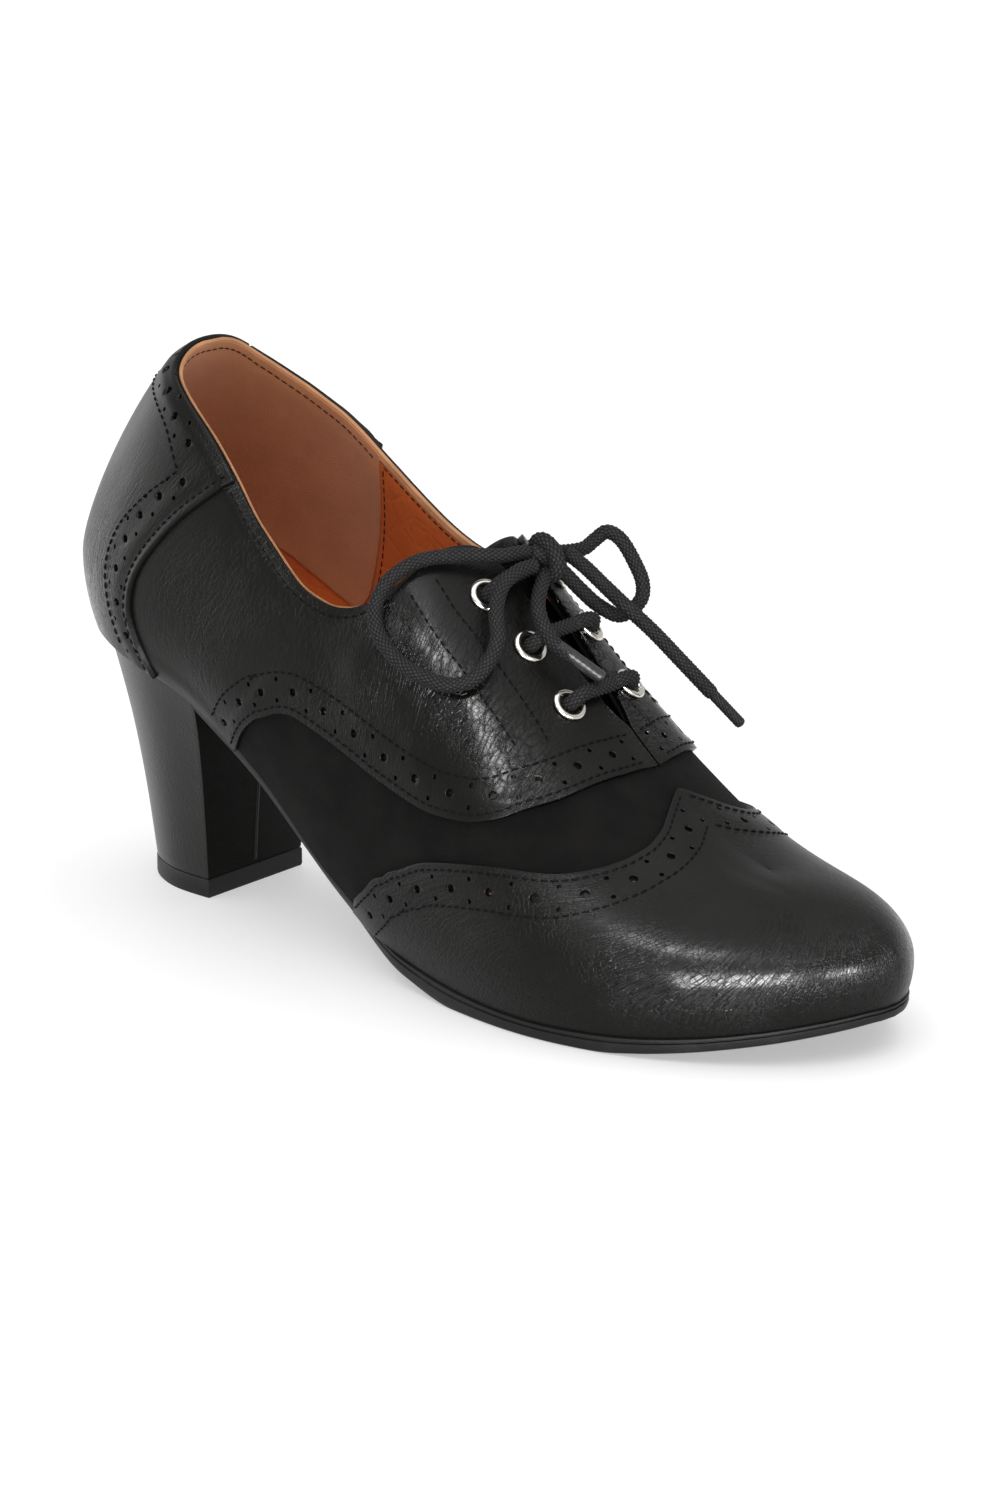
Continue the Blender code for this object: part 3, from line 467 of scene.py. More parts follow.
def normal_at(turn, v):
    """Outward direction of the last. On the spine both sides agree."""
    turn, v = np.broadcast_arrays(np.asarray(turn, float), np.asarray(v, float))
    held = np.clip(v, 0.004, 0.995)
    along = rib_point(turn + 2e-4, held) - rib_point(turn - 2e-4, held)
    upward = rib_point(turn, held + 2e-3) - rib_point(turn, held - 2e-3)
    side = unit(np.cross(along, upward))
    spine_x = spine_station(station_of(turn))
    slope = SPINE["height"](spine_x + 0.5) - SPINE["height"](spine_x - 0.5)
    crown = unit(np.stack([-slope, np.zeros_like(slope), np.ones_like(slope)], -1))
    near = fade(v, 0.965, 1.0)[..., None]
    return unit(side * (1.0 - near) + crown * near)


def lifted(turn, v, lift):
    """Points at a height above the last."""
    turn, v, lift = np.broadcast_arrays(*(np.asarray(value, float) for value in (turn, v, lift)))
    return rib_point(turn, v) + normal_at(turn, v) * lift[..., None]


def on_outer_side(turn):
    return np.asarray(turn) % 1.0 <= TOE_TURN


def top_v(turn):
    """Height of the upper's edge."""
    station = station_of(turn)
    return np.where(on_outer_side(turn), TOP_EDGE[OUTER](station), TOP_EDGE[INNER](station))


def low_v(station):
    """Height v a little above the feather line."""
    return WIDEST_V * PANEL_RISE / LAST["widest"](station)


def offset_outline(turn, distance):
    """The feather outline moved outwards in plan."""
    ahead = OUTLINE(turn + 1e-4)
    behind = OUTLINE(turn - 1e-4)
    along = unit(ahead - behind)
    return OUTLINE(turn) + np.asarray(distance)[..., None] * np.stack([along[..., 1], -along[..., 0]], -1)


def along_line(points, side, station, v, end_station, end_v):
    """Share of the way along a line between two places of the last, and the distance from it."""
    start = rib_point(turn_at(station, side), v)
    way = rib_point(turn_at(end_station, side), end_v) - start
    share = np.clip(((points - start) @ way) / (way @ way), 0.0, 1.0)
    return share, np.linalg.norm(points - start - share[..., None] * way, axis=-1)


def folds(turn, v):
    """Height of the listed folds at places on the last."""
    turn, v = np.broadcast_arrays(np.asarray(turn, float), np.asarray(v, float))
    points = rib_point(turn, v)
    outer = on_outer_side(turn)
    total = np.zeros(turn.shape)
    for side, *line, depth, width in FOLDS:
        share, apart = along_line(points, side, *line)
        here = depth * np.exp(-((apart / width) ** 2)) * (0.35 + 0.65 * np.sin(math.pi * share))
        total += np.where(outer == (side == OUTER), here, 0.0)
    return total


def strip_swell(distance, width):
    """The punched strip swells a little between its two rows of stitches."""
    return STRIP_SWELL * np.sin(math.pi * np.clip(distance / width, 0.0, 1.0)) ** 2


def pared(turn, v):
    """How far the leather is pared away, from 0 to 1 at the collar."""
    top = top_v(turn)
    return fade(v, top - PARED_BAND_V, top) * fade(station_of(turn), 128.0, 122.0)


def cap_lift(turn, v):
    swell = strip_swell(station_of(turn) - CAP_BACK(v), CAP_STRIP) * fade(v, 1.02, 0.92)
    return PANEL_LIFT + folds(turn, v) + swell


def quarter_lift(turn, v):
    station = station_of(turn)
    back = FACING(station)
    doubled = fade(station, 114.0, 122.0) * fade(station, 170.0, 164.0)
    step = FACING_STEP * fade(v, back - FACING_EASE_V, back + FACING_EASE_V) * doubled
    swell = strip_swell(v - QUARTER_LOW(station), QUARTER_STRIP_V) * fade(station, 176.0, 168.0)
    sunk = SEAM_SINK * fade(v, 0.955, 1.0) * fade(station, 150.0, 170.0)
    return PANEL_LIFT + folds(turn, v) + step + swell - sunk - PARED_OUTSIDE * pared(turn, v)


def counter_lift(turn, v):
    from_edge = COUNTER(v / top_v(turn)) - station_of(turn)
    rolled = COUNTER_ROLL * fade(from_edge, COUNTER_ROLL_WIDTH, 0.0)
    swell = strip_swell(from_edge - 1.0, COUNTER_STRIP)
    return COUNTER_LIFT + folds(turn, v) + swell + rolled - PARED_OUTSIDE * pared(turn, v)


def world(points):
    """Millimetres of the shoe to metres of the frame."""
    return (np.asarray(points, float) - ORIGIN) * MM


def smooth_route(route, step):
    """Points a step apart on a smooth curve through the route's points."""
    points = np.asarray(route, float)
    padded = np.concatenate([2 * points[:1] - points[1:2], points, 2 * points[-1:] - points[-2:-1]])
    fine = []
    for a, b, c, d in zip(padded, padded[1:], padded[2:], padded[3:]):
        t = np.linspace(0.0, 1.0, 40, endpoint=False)[:, None]
        bend = (2 * a - 5 * b + 4 * c - d) * t**2 + (3 * b - a - 3 * c + d) * t**3
        fine.append(b + 0.5 * ((c - a) * t + bend))
    fine = np.concatenate(fine + [points[-1:]])
    length = lengths_along(fine)
    at = np.linspace(0.0, length[-1], max(2, round(length[-1] / step) + 1))
    return np.stack([np.interp(at, length, column) for column in fine.T], -1)


def inset_places(turn, v, distance, steps=8):
    """Places moved sideways over the last, to the left of the way they run, by a distance."""
    e_turn, e_v = 1e-4, 1e-3
    along = np.gradient(rib_point(turn, v), axis=0)
    aside = np.cross(normal_at(turn, v), along)
    for _ in range(steps):
        held = np.clip(v, 0.003, 0.997)
        by_turn = (rib_point(turn + e_turn, held) - rib_point(turn - e_turn, held)) / (2 * e_turn)
        by_v = (rib_point(turn, held + e_v) - rib_point(turn, held - e_v)) / (2 * e_v)
        normal = normal_at(turn, held)
        push = unit(aside - normal * (aside * normal).sum(-1, keepdims=True)) * (distance / steps)
        tt = (by_turn * by_turn).sum(-1)
        vv = (by_v * by_v).sum(-1)
        tv = (by_turn * by_v).sum(-1)
        pt = (push * by_turn).sum(-1)
        pv = (push * by_v).sum(-1)
        spread = tt * vv - tv * tv
        turn = turn + (pt * vv - pv * tv) / spread
        v = v + (pv * tt - pt * tv) / spread
    return turn, v


# A row's steps, and the rough length in millimetres that v spans.
ROW_STEPS = 400
V_SPAN = 100.0


class Row:
    """A line over one panel, read at even distances: points, directions along it and normals."""

    def __init__(self, turn, v, lift, inset=0.0):
        if inset:
            edge = rib_point(turn, v)
            turn, v = inset_places(turn, v, inset)
            apart = np.linalg.norm(rib_point(turn, np.minimum(v, 1.0))[:, None] - edge, axis=-1).min(1)
            clear = apart > 0.93 * abs(inset)
            turn, v = turn[clear], v[clear]
        self.turn = turn
        self.v = np.minimum(v, 1.0)
        self.lift = lift
        self.length = lengths_along(rib_point(turn, self.v))

    def frames(self, pitch, start=0.0, stop=0.0, aside=0.0, rise=0.0):
        """Frames every pitch along the row, leaving out a start and a stop, set aside to its left."""
        room = self.length[-1] - start - stop
        at = start + (np.arange(int(room / pitch)) + 0.5) * pitch
        if len(at) < 2:
            at = np.array([start + room / 3, start + 2 * room / 3])
        turn = np.interp(at, self.length, self.turn)
        v = np.interp(at, self.length, self.v)
        if aside:
            turn, v = inset_places(turn, v, aside)
        points = lifted(turn, v, self.lift(turn, v) + rise)
        normals = normal_at(turn, v)
        along = np.gradient(points, axis=0)
        along = unit(along - normals * (along * normals).sum(-1, keepdims=True))
        return points, along, normals


def side_row(places, side, lift):
    """A row through places, station and v, on one side of the last."""
    route = np.asarray(places, float) * np.array([1.0, V_SPAN])
    fine = smooth_route(route, lengths_along(route)[-1] / ROW_STEPS)
    v = np.clip(fine[:, 1] / V_SPAN, 0.002, 1.0)
    return Row(turn_at(fine[:, 0], side), v, lift)


class Wire:
    """An output socket of a material's nodes that takes part in sums."""

    def __init__(self, tree, socket=None):
        self.tree = tree
        self.socket = socket

    def node(self, kind, settings, inputs, output=0):
        """A new node: its settings first, then its inputs as values or wires."""
        node = self.tree.nodes.new(kind)
        for name, value in settings.items():
            setattr(node, name, value)
        for name, value in inputs.items():
            if isinstance(value, Wire):
                self.tree.links.new(value.socket, node.inputs[name])
            else:
                node.inputs[name].default_value = value
        return Wire(self.tree, node.outputs[output])

    def sum(self, operation, first, second):
        return self.node("ShaderNodeMath", {"operation": operation}, {0: first, 1: second})

    def __add__(self, other):
        return self.sum("ADD", self, other)

    def __radd__(self, other):
        return self.sum("ADD", other, self)

    def __sub__(self, other):
        return self.sum("SUBTRACT", self, other)

    def __rsub__(self, other):
        return self.sum("SUBTRACT", other, self)

    def __mul__(self, other):
        return self.sum("MULTIPLY", self, other)

    def __rmul__(self, other):
        return self.sum("MULTIPLY", other, self)

    def blend(self, factor, first, second):
        """A colour between two."""
        return self.node("ShaderNodeMix", {"data_type": "RGBA"}, {0: factor, 6: first, 7: second}, 2)

    def noise(self, place, scale, detail=2.0, output="Fac"):
        inputs = {"Vector": place, "Scale": scale, "Detail": detail, "Roughness": 0.55}
        return self.node("ShaderNodeTexNoise", {}, inputs, output)

    def ease(self, value, low, high, start=0.0, end=1.0):
        """A value eased from start to end between two limits."""
        inputs = {"Value": value, "From Min": low, "From Max": high, "To Min": start, "To Max": end}
        return self.node("ShaderNodeMapRange", {"interpolation_type": "SMOOTHSTEP"}, inputs)

    def cells(self, place, scale):
        """Distance to the borders of irregular cells."""
        inputs = {"Vector": place, "Scale": scale}
        return self.node("ShaderNodeTexVoronoi", {"feature": "DISTANCE_TO_EDGE"}, inputs)


def new_finish(name, colour, roughness, **constants):
    """A material with one shader, its plain values set, and a wire to build its patterns from."""
    material = bpy.data.materials.new(name)
    material.use_nodes = True
    shader = material.node_tree.nodes["Principled BSDF"]
    shader.inputs["Base Color"].default_value = (*colour, 1.0)
    shader.inputs["Roughness"].default_value = roughness
    for socket, value in constants.items():
        shader.inputs[socket.replace("_", " ")].default_value = value
    return material, shader, Wire(material.node_tree)


def join_finish(wire, shader, **links):
    for socket, value in links.items():
        wire.tree.links.new(value.socket, shader.inputs[socket.replace("_", " ")])


def shade(colour, factor):
    return tuple(min(1.0, value * factor) for value in colour) + (1.0,)


def place_of(wire):
    return wire.node("ShaderNodeTexCoord", {}, {}, "Object")


def stirred(wire, place, scale, amount):
    """Places pushed about by a soft noise, so that a pattern runs unevenly."""
    push = wire.noise(place, scale, 2.0, "Color")
    centred = wire.node("ShaderNodeVectorMath", {"operation": "SUBTRACT"}, {0: push, 1: (0.5, 0.5, 0.5)})
    inputs = {0: centred, 1: (amount,) * 3, 2: place}
    return wire.node("ShaderNodeVectorMath", {"operation": "MULTIPLY_ADD"}, inputs)


def bumped(wire, height, strength, distance):
    inputs = {"Strength": strength, "Distance": distance, "Height": height}
    return wire.node("ShaderNodeBump", {}, inputs, "Normal")


def crackled_leather(name, colour, sheeted=True, gloss=0.13, depth=0.7, dull=0.34, bright=0.14):
    """Leather with shallow waves and a fine crackle that breaks up its polish where it is rubbed bright."""
    material, shader, wire = new_finish(name, colour, dull, Coat_Roughness=0.2, Specular_IOR_Level=gloss)
    place = place_of(wire)
    worn, wrinkles = 0.12, 0.0
    if sheeted:
        worn = wire.node("ShaderNodeAttribute", {"attribute_name": "polish"}, {}, "Fac")
        sheet = wire.node("ShaderNodeUVMap", {"uv_map": "UVMap"}, {})
        drawn = wire.node("ShaderNodeMapping", {}, {"Vector": sheet, "Scale": (0.9, 0.14, 1.0)})
        wrinkles = wire.ease(wire.cells(stirred(wire, drawn, 1.1, 0.6), 1.0), 0.0, 0.16, 1.0, 0.0)
    uneven = stirred(wire, place, 150.0, 0.004)
    patch = wire.ease(wire.noise(place, 30.0, 3.0), 0.40, 0.62)
    crackle = wire.ease(wire.cells(uneven, 700.0), 0.0, 0.12, 1.0, 0.0)
    facets = wire.noise(place, 480.0, 2.0)
    waves = wire.noise(place, 150.0, 2.0)
    pores = wire.noise(place, 1600.0, 2.0)
    broken = crackle * (patch * 0.10 + worn * 0.12 + 0.03) + wrinkles * (worn * 0.24 + patch * 0.10 + 0.03)
    height = waves * 0.16 + facets * 0.05 + pores * 0.01 - broken
    rough = dull - 0.03 - worn * (dull - bright) + pores * 0.06
    tone = wire.blend(wire.noise(place, 45.0, 3.0), shade(colour, 0.7), shade(colour, 1.2))
    polish = (1.0 - crackle * 0.75) * (1.0 - wrinkles * 0.9) * (worn * 0.6)
    relief = bumped(wire, height, depth, 0.0005)
    join_finish(wire, shader, Base_Color=tone, Roughness=rough, Coat_Weight=polish, Normal=relief)
    return material


def napped_suede(name, colour, sheen, contrast):
    """Suede: a soft nap that drinks the light."""
    material, shader, wire = new_finish(
        name, colour, 0.95, Sheen_Weight=sheen, Sheen_Roughness=0.6, Specular_IOR_Level=0.06
    )
    place = place_of(wire)
    nap = wire.noise(place, 2600.0, 2.0)
    brushed = wire.noise(place, 90.0, 3.0)
    uneven = wire.ease(brushed * 0.7 + nap * 0.3, 0.35, 0.65)
    tone = wire.blend(uneven, shade(colour, 1.0 - contrast), shade(colour, 1.0 + contrast))
    join_finish(wire, shader, Base_Color=tone, Normal=bumped(wire, nap + brushed * 0.6, 0.5, 0.0003))
    return material


def lining_leather(name, colour):
    """Smooth lining leather with pores and shallow wrinkles."""
    material, shader, wire = new_finish(name, colour, 0.42, Coat_Weight=0.3, Coat_Roughness=0.26)
    place = place_of(wire)
    uneven = stirred(wire, place, 60.0, 0.01)
    wrinkles = wire.ease(wire.cells(uneven, 150.0), 0.0, 0.14, 1.0, 0.0)
    pores = wire.noise(place, 1500.0, 2.0)
    cloud = wire.noise(place, 55.0, 3.0)
    tone = wire.blend(cloud * 0.8 + pores * 0.2, shade(colour, 0.74), shade(colour, 1.22))
    height = pores * 0.35 - wrinkles * 0.3 + cloud * 2.0
    rough = 0.36 + pores * 0.14
    join_finish(wire, shader, Base_Color=tone, Roughness=rough, Normal=bumped(wire, height, 0.5, 0.0005))
    return material


def moulded_rubber(name, colour):
    """Sole rubber with a fine moulded texture and scuffs."""
    material, shader, wire = new_finish(name, colour, 0.5, Specular_IOR_Level=0.22)
    place = place_of(wire)
    fine = wire.noise(place, 1400.0, 2.0)
    scuff = wire.ease(wire.noise(place, 130.0, 4.0), 0.5, 0.75)
    tone = wire.blend(scuff, shade(colour, 0.85), shade(colour, 1.7))
    rough = 0.42 + fine * 0.1 + scuff * 0.15
    join_finish(wire, shader, Base_Color=tone, Roughness=rough, Normal=bumped(wire, fine, 0.35, 0.0002))
    return material


def bright_metal(name, colour):
    """Plated metal with faint polishing marks."""
    material, shader, wire = new_finish(name, colour, 0.16, Metallic=1.0)
    place = place_of(wire)
    marks = wire.noise(place, 900.0, 3.0)
    join_finish(wire, shader, Roughness=0.12 + marks * 0.10, Normal=bumped(wire, marks, 0.08, 0.0001))
    return material


def waxed_cord(name, colour):
    """Waxed cotton braid: fibres, random wear, painted shade in the gaps of the braid and painted highlight
    on its raised strands.
    """
    material, shader, wire = new_finish(
        name, colour, 0.55, Coat_Weight=0.03, Coat_Roughness=0.2, Specular_IOR_Level=0.12
    )
    place = place_of(wire)
    fibre = wire.noise(place, 2400.0, 4.0)
    wear = wire.noise(place, 260.0, 3.0)
    weave = wire.node("ShaderNodeAttribute", {"attribute_name": "weave"}, {}, "Fac")
    # The braid's relief paints shade, nearly black, into its gaps and a painted highlight onto its raised
    # strands; it also makes the strands glossier.
    raised = wire.ease(weave, 0.25, 0.85)
    tone = wire.blend(raised * 0.6 + wear * 0.15 + fibre * 0.25, shade(colour, 0.04), shade(colour, 2.3))
    rough = 0.78 - raised * 0.38 + fibre * 0.16
    join_finish(wire, shader, Base_Color=tone, Roughness=rough, Normal=bumped(wire, fibre, 0.8, 0.0004))
    return material


def sewing_thread(name, colour):
    """Twisted thread."""
    material, shader, wire = new_finish(name, colour, 0.45, Specular_IOR_Level=0.06)
    place = place_of(wire)
    twist = wire.noise(place, 3600.0, 2.0)
    tone = wire.blend(twist, shade(colour, 0.7), shade(colour, 1.4))
    join_finish(wire, shader, Base_Color=tone, Roughness=0.38 + twist * 0.2)
    return material


def clear_sleeve(name, colour):
    """Clear plastic shrunk over the end of the lace."""
    material, shader, wire = new_finish(name, colour, 0.3, Specular_IOR_Level=0.3)
    place = place_of(wire)
    under = wire.noise(place, 700.0, 2.0)
    tone = wire.blend(under, shade(colour, 0.6), shade(colour, 1.5))
    join_finish(wire, shader, Base_Color=tone, Roughness=0.26 + under * 0.14)
    return material


# Finishes: what makes each, whose colour it takes, and the values that are its own.
FINISHES = {
    "black_leather": (crackled_leather, "leather", {}),
    "heel_leather": (crackled_leather, "leather", {"sheeted": False, "gloss": 0.24, "depth": 0.4}),
    # The heel's breast: a duller, less glossy copy of the heel leather, so that it reads darker as painted
    # shade where shade falls on the breast.
    "breast_leather": (
        crackled_leather,
        "leather",
        {"sheeted": False, "gloss": 0.03, "depth": 0.4, "dull": 0.5, "bright": 0.4},
    ),
    "black_suede": (napped_suede, "suede", {"sheen": 0.015, "contrast": 0.40}),
    "grip_suede": (napped_suede, "grip", {"sheen": 0.20, "contrast": 0.07}),
    "raw_edge": (napped_suede, "raw_edge", {"sheen": 0.0, "contrast": 0.15}),
    "backing": (napped_suede, "backing", {"sheen": 0.0, "contrast": 0.3}),
    "lining_leather": (lining_leather, "lining", {}),
    "insole_leather": (lining_leather, "insole", {}),
    "black_thread": (sewing_thread, "thread", {}),
    "lining_thread": (sewing_thread, "lining_thread", {}),
    "black_rubber": (moulded_rubber, "rubber", {}),
    "bright_metal": (bright_metal, "metal", {}),
    "waxed_braid": (waxed_cord, "cord", {}),
    "clear_sleeve": (clear_sleeve, "sleeve", {}),
}


def finish(name):
    """A finish that pieces share, made the first time it is asked for."""
    make, colour, values = FINISHES[name]
    tint = tuple(getattr(bpy.context.scene.shoe_colours, colour))
    return bpy.data.materials.get(name) or make(name, tint, **values)


def deselect():
    if bpy.context.mode != "OBJECT":
        bpy.ops.object.mode_set(mode="OBJECT")
    bpy.ops.object.select_all(action="DESELECT")


def make_active(piece):
    deselect()
    piece.select_set(True)
    bpy.context.view_layer.objects.active = piece


def edit_all(piece, *steps):
    """Take editing steps on the whole mesh of a piece."""
    make_active(piece)
    bpy.ops.object.mode_set(mode="EDIT")
    for step in steps:
        bpy.ops.mesh.select_all(action="SELECT")
        step()
    bpy.ops.object.mode_set(mode="OBJECT")


def merge_near(distance):
    """An editing step that merges vertices which meet, as at a seam or on the spine."""
    return lambda: bpy.ops.mesh.remove_doubles(threshold=distance * MM)


def face_outwards():
    bpy.ops.mesh.normals_make_consistent(inside=False)


def vertex_places(piece):
    flat = np.empty(len(piece.data.vertices) * 3)
    piece.data.vertices.foreach_get("co", flat)
    return flat.reshape(-1, 3)


def add_sheet(name, columns, rows, place, span=(1.0, 1.0)):
    """A grid primitive, with each vertex moved to its place over the last. The span scales its own map."""
    deselect()
    bpy.ops.mesh.primitive_grid_add(x_subdivisions=columns, y_subdivisions=rows, size=1.0)
    piece = bpy.context.active_object
    piece.name = name
    piece.data.name = name
    share = np.clip(vertex_places(piece) + 0.5, 0.0, 1.0)
    piece.data.vertices.foreach_set("co", world(place(share[:, 0], share[:, 1])).ravel())
    piece.data.update()
    spread = piece.data.uv_layers[0].uv
    flat = np.empty(len(spread) * 2)
    spread.foreach_get("vector", flat)
    spread.foreach_set("vector", (flat.reshape(-1, 2) * span).ravel())
    edit_all(piece, merge_near(SHEET_MERGE))
    return piece


def rub_bright(piece):
    """Mark where the leather is rubbed bright."""
    points = vertex_places(piece) / MM + ORIGIN
    polish = np.zeros(len(points))
    for side, *line, width in SHINES:
        polish = np.maximum(polish, np.exp(-((along_line(points, side, *line)[1] / width) ** 2)))
    piece.data.attributes.new("polish", "FLOAT", "POINT").data.foreach_set("value", polish)


def apply_modifiers(piece):
    make_active(piece)
    for modifier in list(piece.modifiers):
        bpy.ops.object.modifier_apply(modifier=modifier.name)


def ease_edges(piece, width, segments=2, degrees=50.0):
    """Round off sharp edges."""
    edge = piece.modifiers.new("edge", "BEVEL")
    edge.width = width * MM
    edge.segments = segments
    edge.limit_method = "ANGLE"
    edge.angle_limit = math.radians(degrees)
    apply_modifiers(piece)


def add_wall(piece, thick, round_edge):
    """Give a sheet its thickness inwards, and ease its cut edges."""
    wall = piece.modifiers.new("wall", "SOLIDIFY")
    wall.thickness = thick * MM
    wall.offset = -1.0
    apply_modifiers(piece)
    ease_edges(piece, round_edge)


def smooth_shading(piece, degrees=38.0):
    make_active(piece)
    bpy.ops.object.shade_smooth_by_angle(angle=math.radians(degrees))


def finish_piece(piece, look, *nodes):
    """Give a piece its finish, let it ride with the shoe and stand for its solids."""
    piece.data.materials.clear()
    piece.data.materials.append(finish(look))
    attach(piece, "root")
    if nodes:
        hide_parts(*nodes)
    return piece


def dress_leather(panel, node):
    """Polish a leather panel, which stands for its solid."""
    smooth_shading(panel)
    rub_bright(panel)
    finish_piece(panel, "black_leather", node)


def ring_faces(levels, count):
    """Faces of a tube through rings of points."""
    k = np.arange(count)
    after = (k + 1) % count
    low = np.arange(levels - 1)[:, None] * count
    quads = np.stack([low + k, low + after, low + count + after, low + count + k], -1)
    return quads.reshape(-1, 4).tolist()


def end_faces(levels, count):
    """The two faces that close a tube."""
    ring = list(range(count))
    return [ring[::-1], [(levels - 1) * count + k for k in ring]]


def mesh_piece(name, verts, faces):
    """A piece from points in millimetres and faces."""
    mesh = bpy.data.meshes.new(name)
    mesh.from_pydata([tuple(point) for point in world(verts)], [], [tuple(face) for face in faces])
    mesh.update()
    piece = bpy.data.objects.new(name, mesh)
    bpy.context.scene.collection.objects.link(piece)
    return piece


STITCH_DIP = 0.9
STITCH_RISE = 0.12


def stitch_shape(length, width):
    """One stitch, a short plump thread pulled into the leather at both ends."""
    deselect()
    bpy.ops.mesh.primitive_uv_sphere_add(segments=8, ring_count=6, radius=0.5)
    ball = bpy.context.active_object
    x, y, z = vertex_places(ball).T
    faces = [list(face.vertices) for face in ball.data.polygons]
    bpy.data.objects.remove(ball, do_unlink=True)
    shape = np.stack([z * length, x * width, y * width], -1)
    shape[:, 2] -= STITCH_DIP * (np.abs(shape[:, 0]) / length) ** 2 * width
    return shape, faces


# Section of a punch, from below the leather to above it: share of the hole's radius, and height.
PUNCH_SECTION = ((0.94, -1.12), (0.95, -0.20), (1.0, -0.06), (1.22, 0.10), (1.5, 0.32))
PUNCH_SIDES = 16


def punch_shape(radius):
    """The tool that punches a hole and eases its edge."""
    angles = np.arange(PUNCH_SIDES) * 2 * math.pi / PUNCH_SIDES
    verts = []
    for share, height in PUNCH_SECTION:
        reach = radius * share
        verts += [(math.cos(angle) * reach, math.sin(angle) * reach, height) for angle in angles]
    levels = len(PUNCH_SECTION)
    return np.array(verts), ring_faces(levels, PUNCH_SIDES) + end_faces(levels, PUNCH_SIDES)


SPECK_SIDES = 6


def speck_shape(radius):
    """A scrap of the backing, seen in a hole."""
    angles = np.arange(SPECK_SIDES) * 2 * math.pi / SPECK_SIDES
    verts = [(math.cos(angle) * radius, math.sin(angle) * radius * 0.7, 0.0) for angle in angles]
    faces = [(k, (k + 1) % SPECK_SIDES, SPECK_SIDES) for k in range(SPECK_SIDES)]
    return np.array(verts + [(0.0, 0.0, 0.12)]), faces


def scatter(name, groups):
    """Copies of small shapes at the frames of rows, as one mesh."""
    verts, faces = [], []
    count = 0
    for (shape, shape_faces), (points, along, normals) in groups:
        axes = np.stack([along, np.cross(normals, along), normals], 1)
        for placed in points[:, None] + np.einsum("nk,mkj->mnj", shape, axes):
            verts.append(placed)
            faces += [[index + count for index in face] for face in shape_faces]
            count += len(shape)
    return mesh_piece(name, np.concatenate(verts), faces)


def stitch_rows(name, rows, look="black_thread"):
    """Stitching along rows, each with the lengths left free at its start and stop."""
    sizes = bpy.context.scene.shoe_stitches
    shape = stitch_shape(sizes.length / MM, sizes.width / MM)
    pitch = sizes.pitch / MM
    groups = [(shape, row.frames(pitch, start, stop, 0.0, STITCH_RISE)) for row, start, stop in rows]
    piece = scatter(name, groups)
    smooth_shading(piece, 60.0)
    finish_piece(piece, look)


def strip_rows(turn, v, lift, inwards):
    """Rows of a punched strip: the seam along the panel's edge, the seam behind the holes, and the holes."""
    edge = bpy.context.scene.shoe_stitches.edge / MM
    strip = bpy.context.scene.shoe_holes.strip / MM
    insets = (edge, strip, (strip + HOLES_FORWARD) / 2)
    return [Row(turn, v, lift, inwards * inset) for inset in insets]


def punch_rows(panel, rows, spread):
    """Punch holes along strips: a large hole, then a pair of small ones, over and over."""
    sizes = bpy.context.scene.shoe_holes
    pitch = sizes.pitch / MM * spread
    large, small, aside = sizes.large / MM, sizes.small / MM, sizes.aside / MM
    groups, specks = [], []
    for row, start, stop in rows:
        under = Row(row.turn, row.v, lambda turn, v: np.full(np.shape(turn), BACKING_LIFT))
        for radius, shift, across in ((large, 0.0, 0.0), (small, 0.5, aside), (small, 0.5, -aside)):
            reach = (pitch, start + pitch * shift, stop - pitch * shift)
            groups.append((punch_shape(radius), row.frames(*reach, across)))
            seen = under.frames(*reach, across - 0.3 * radius)
            specks.append((speck_shape(0.4 * radius), [part[1::3] for part in seen]))
    punches = scatter("punches", groups)
    cut = panel.modifiers.new("holes", "BOOLEAN")
    cut.operation = "DIFFERENCE"
    cut.solver = "MANIFOLD"
    cut.object = punches
    before = len(panel.data.polygons)
    apply_modifiers(panel)
    bpy.data.objects.remove(punches, do_unlink=True)
    if len(panel.data.polygons) <= before:
        raise RuntimeError("the holes of " + panel.name + " were not punched")
    finish_piece(scatter("backing_" + panel.name, specks), "backing")


def transported_frames(path):
    """Two directions across a path that turn as little as they can along it."""
    along = unit(np.gradient(path, axis=0))
    start = np.array([0.0, 0.0, 1.0]) if abs(along[0, 2]) < 0.9 else np.array([1.0, 0.0, 0.0])
    across = np.empty_like(path)
    held = start
    for i, way in enumerate(along):
        held = held - way * (held @ way)
        held = held / np.linalg.norm(held)
        across[i] = held
    return across, np.cross(along, across)


BRAID_SIDES = 48
BRAID_STRANDS = 5
BRAID_STEP = 0.22
SLEEVE_PRESS, SLEEVE_EASE = 0.28, 0.75


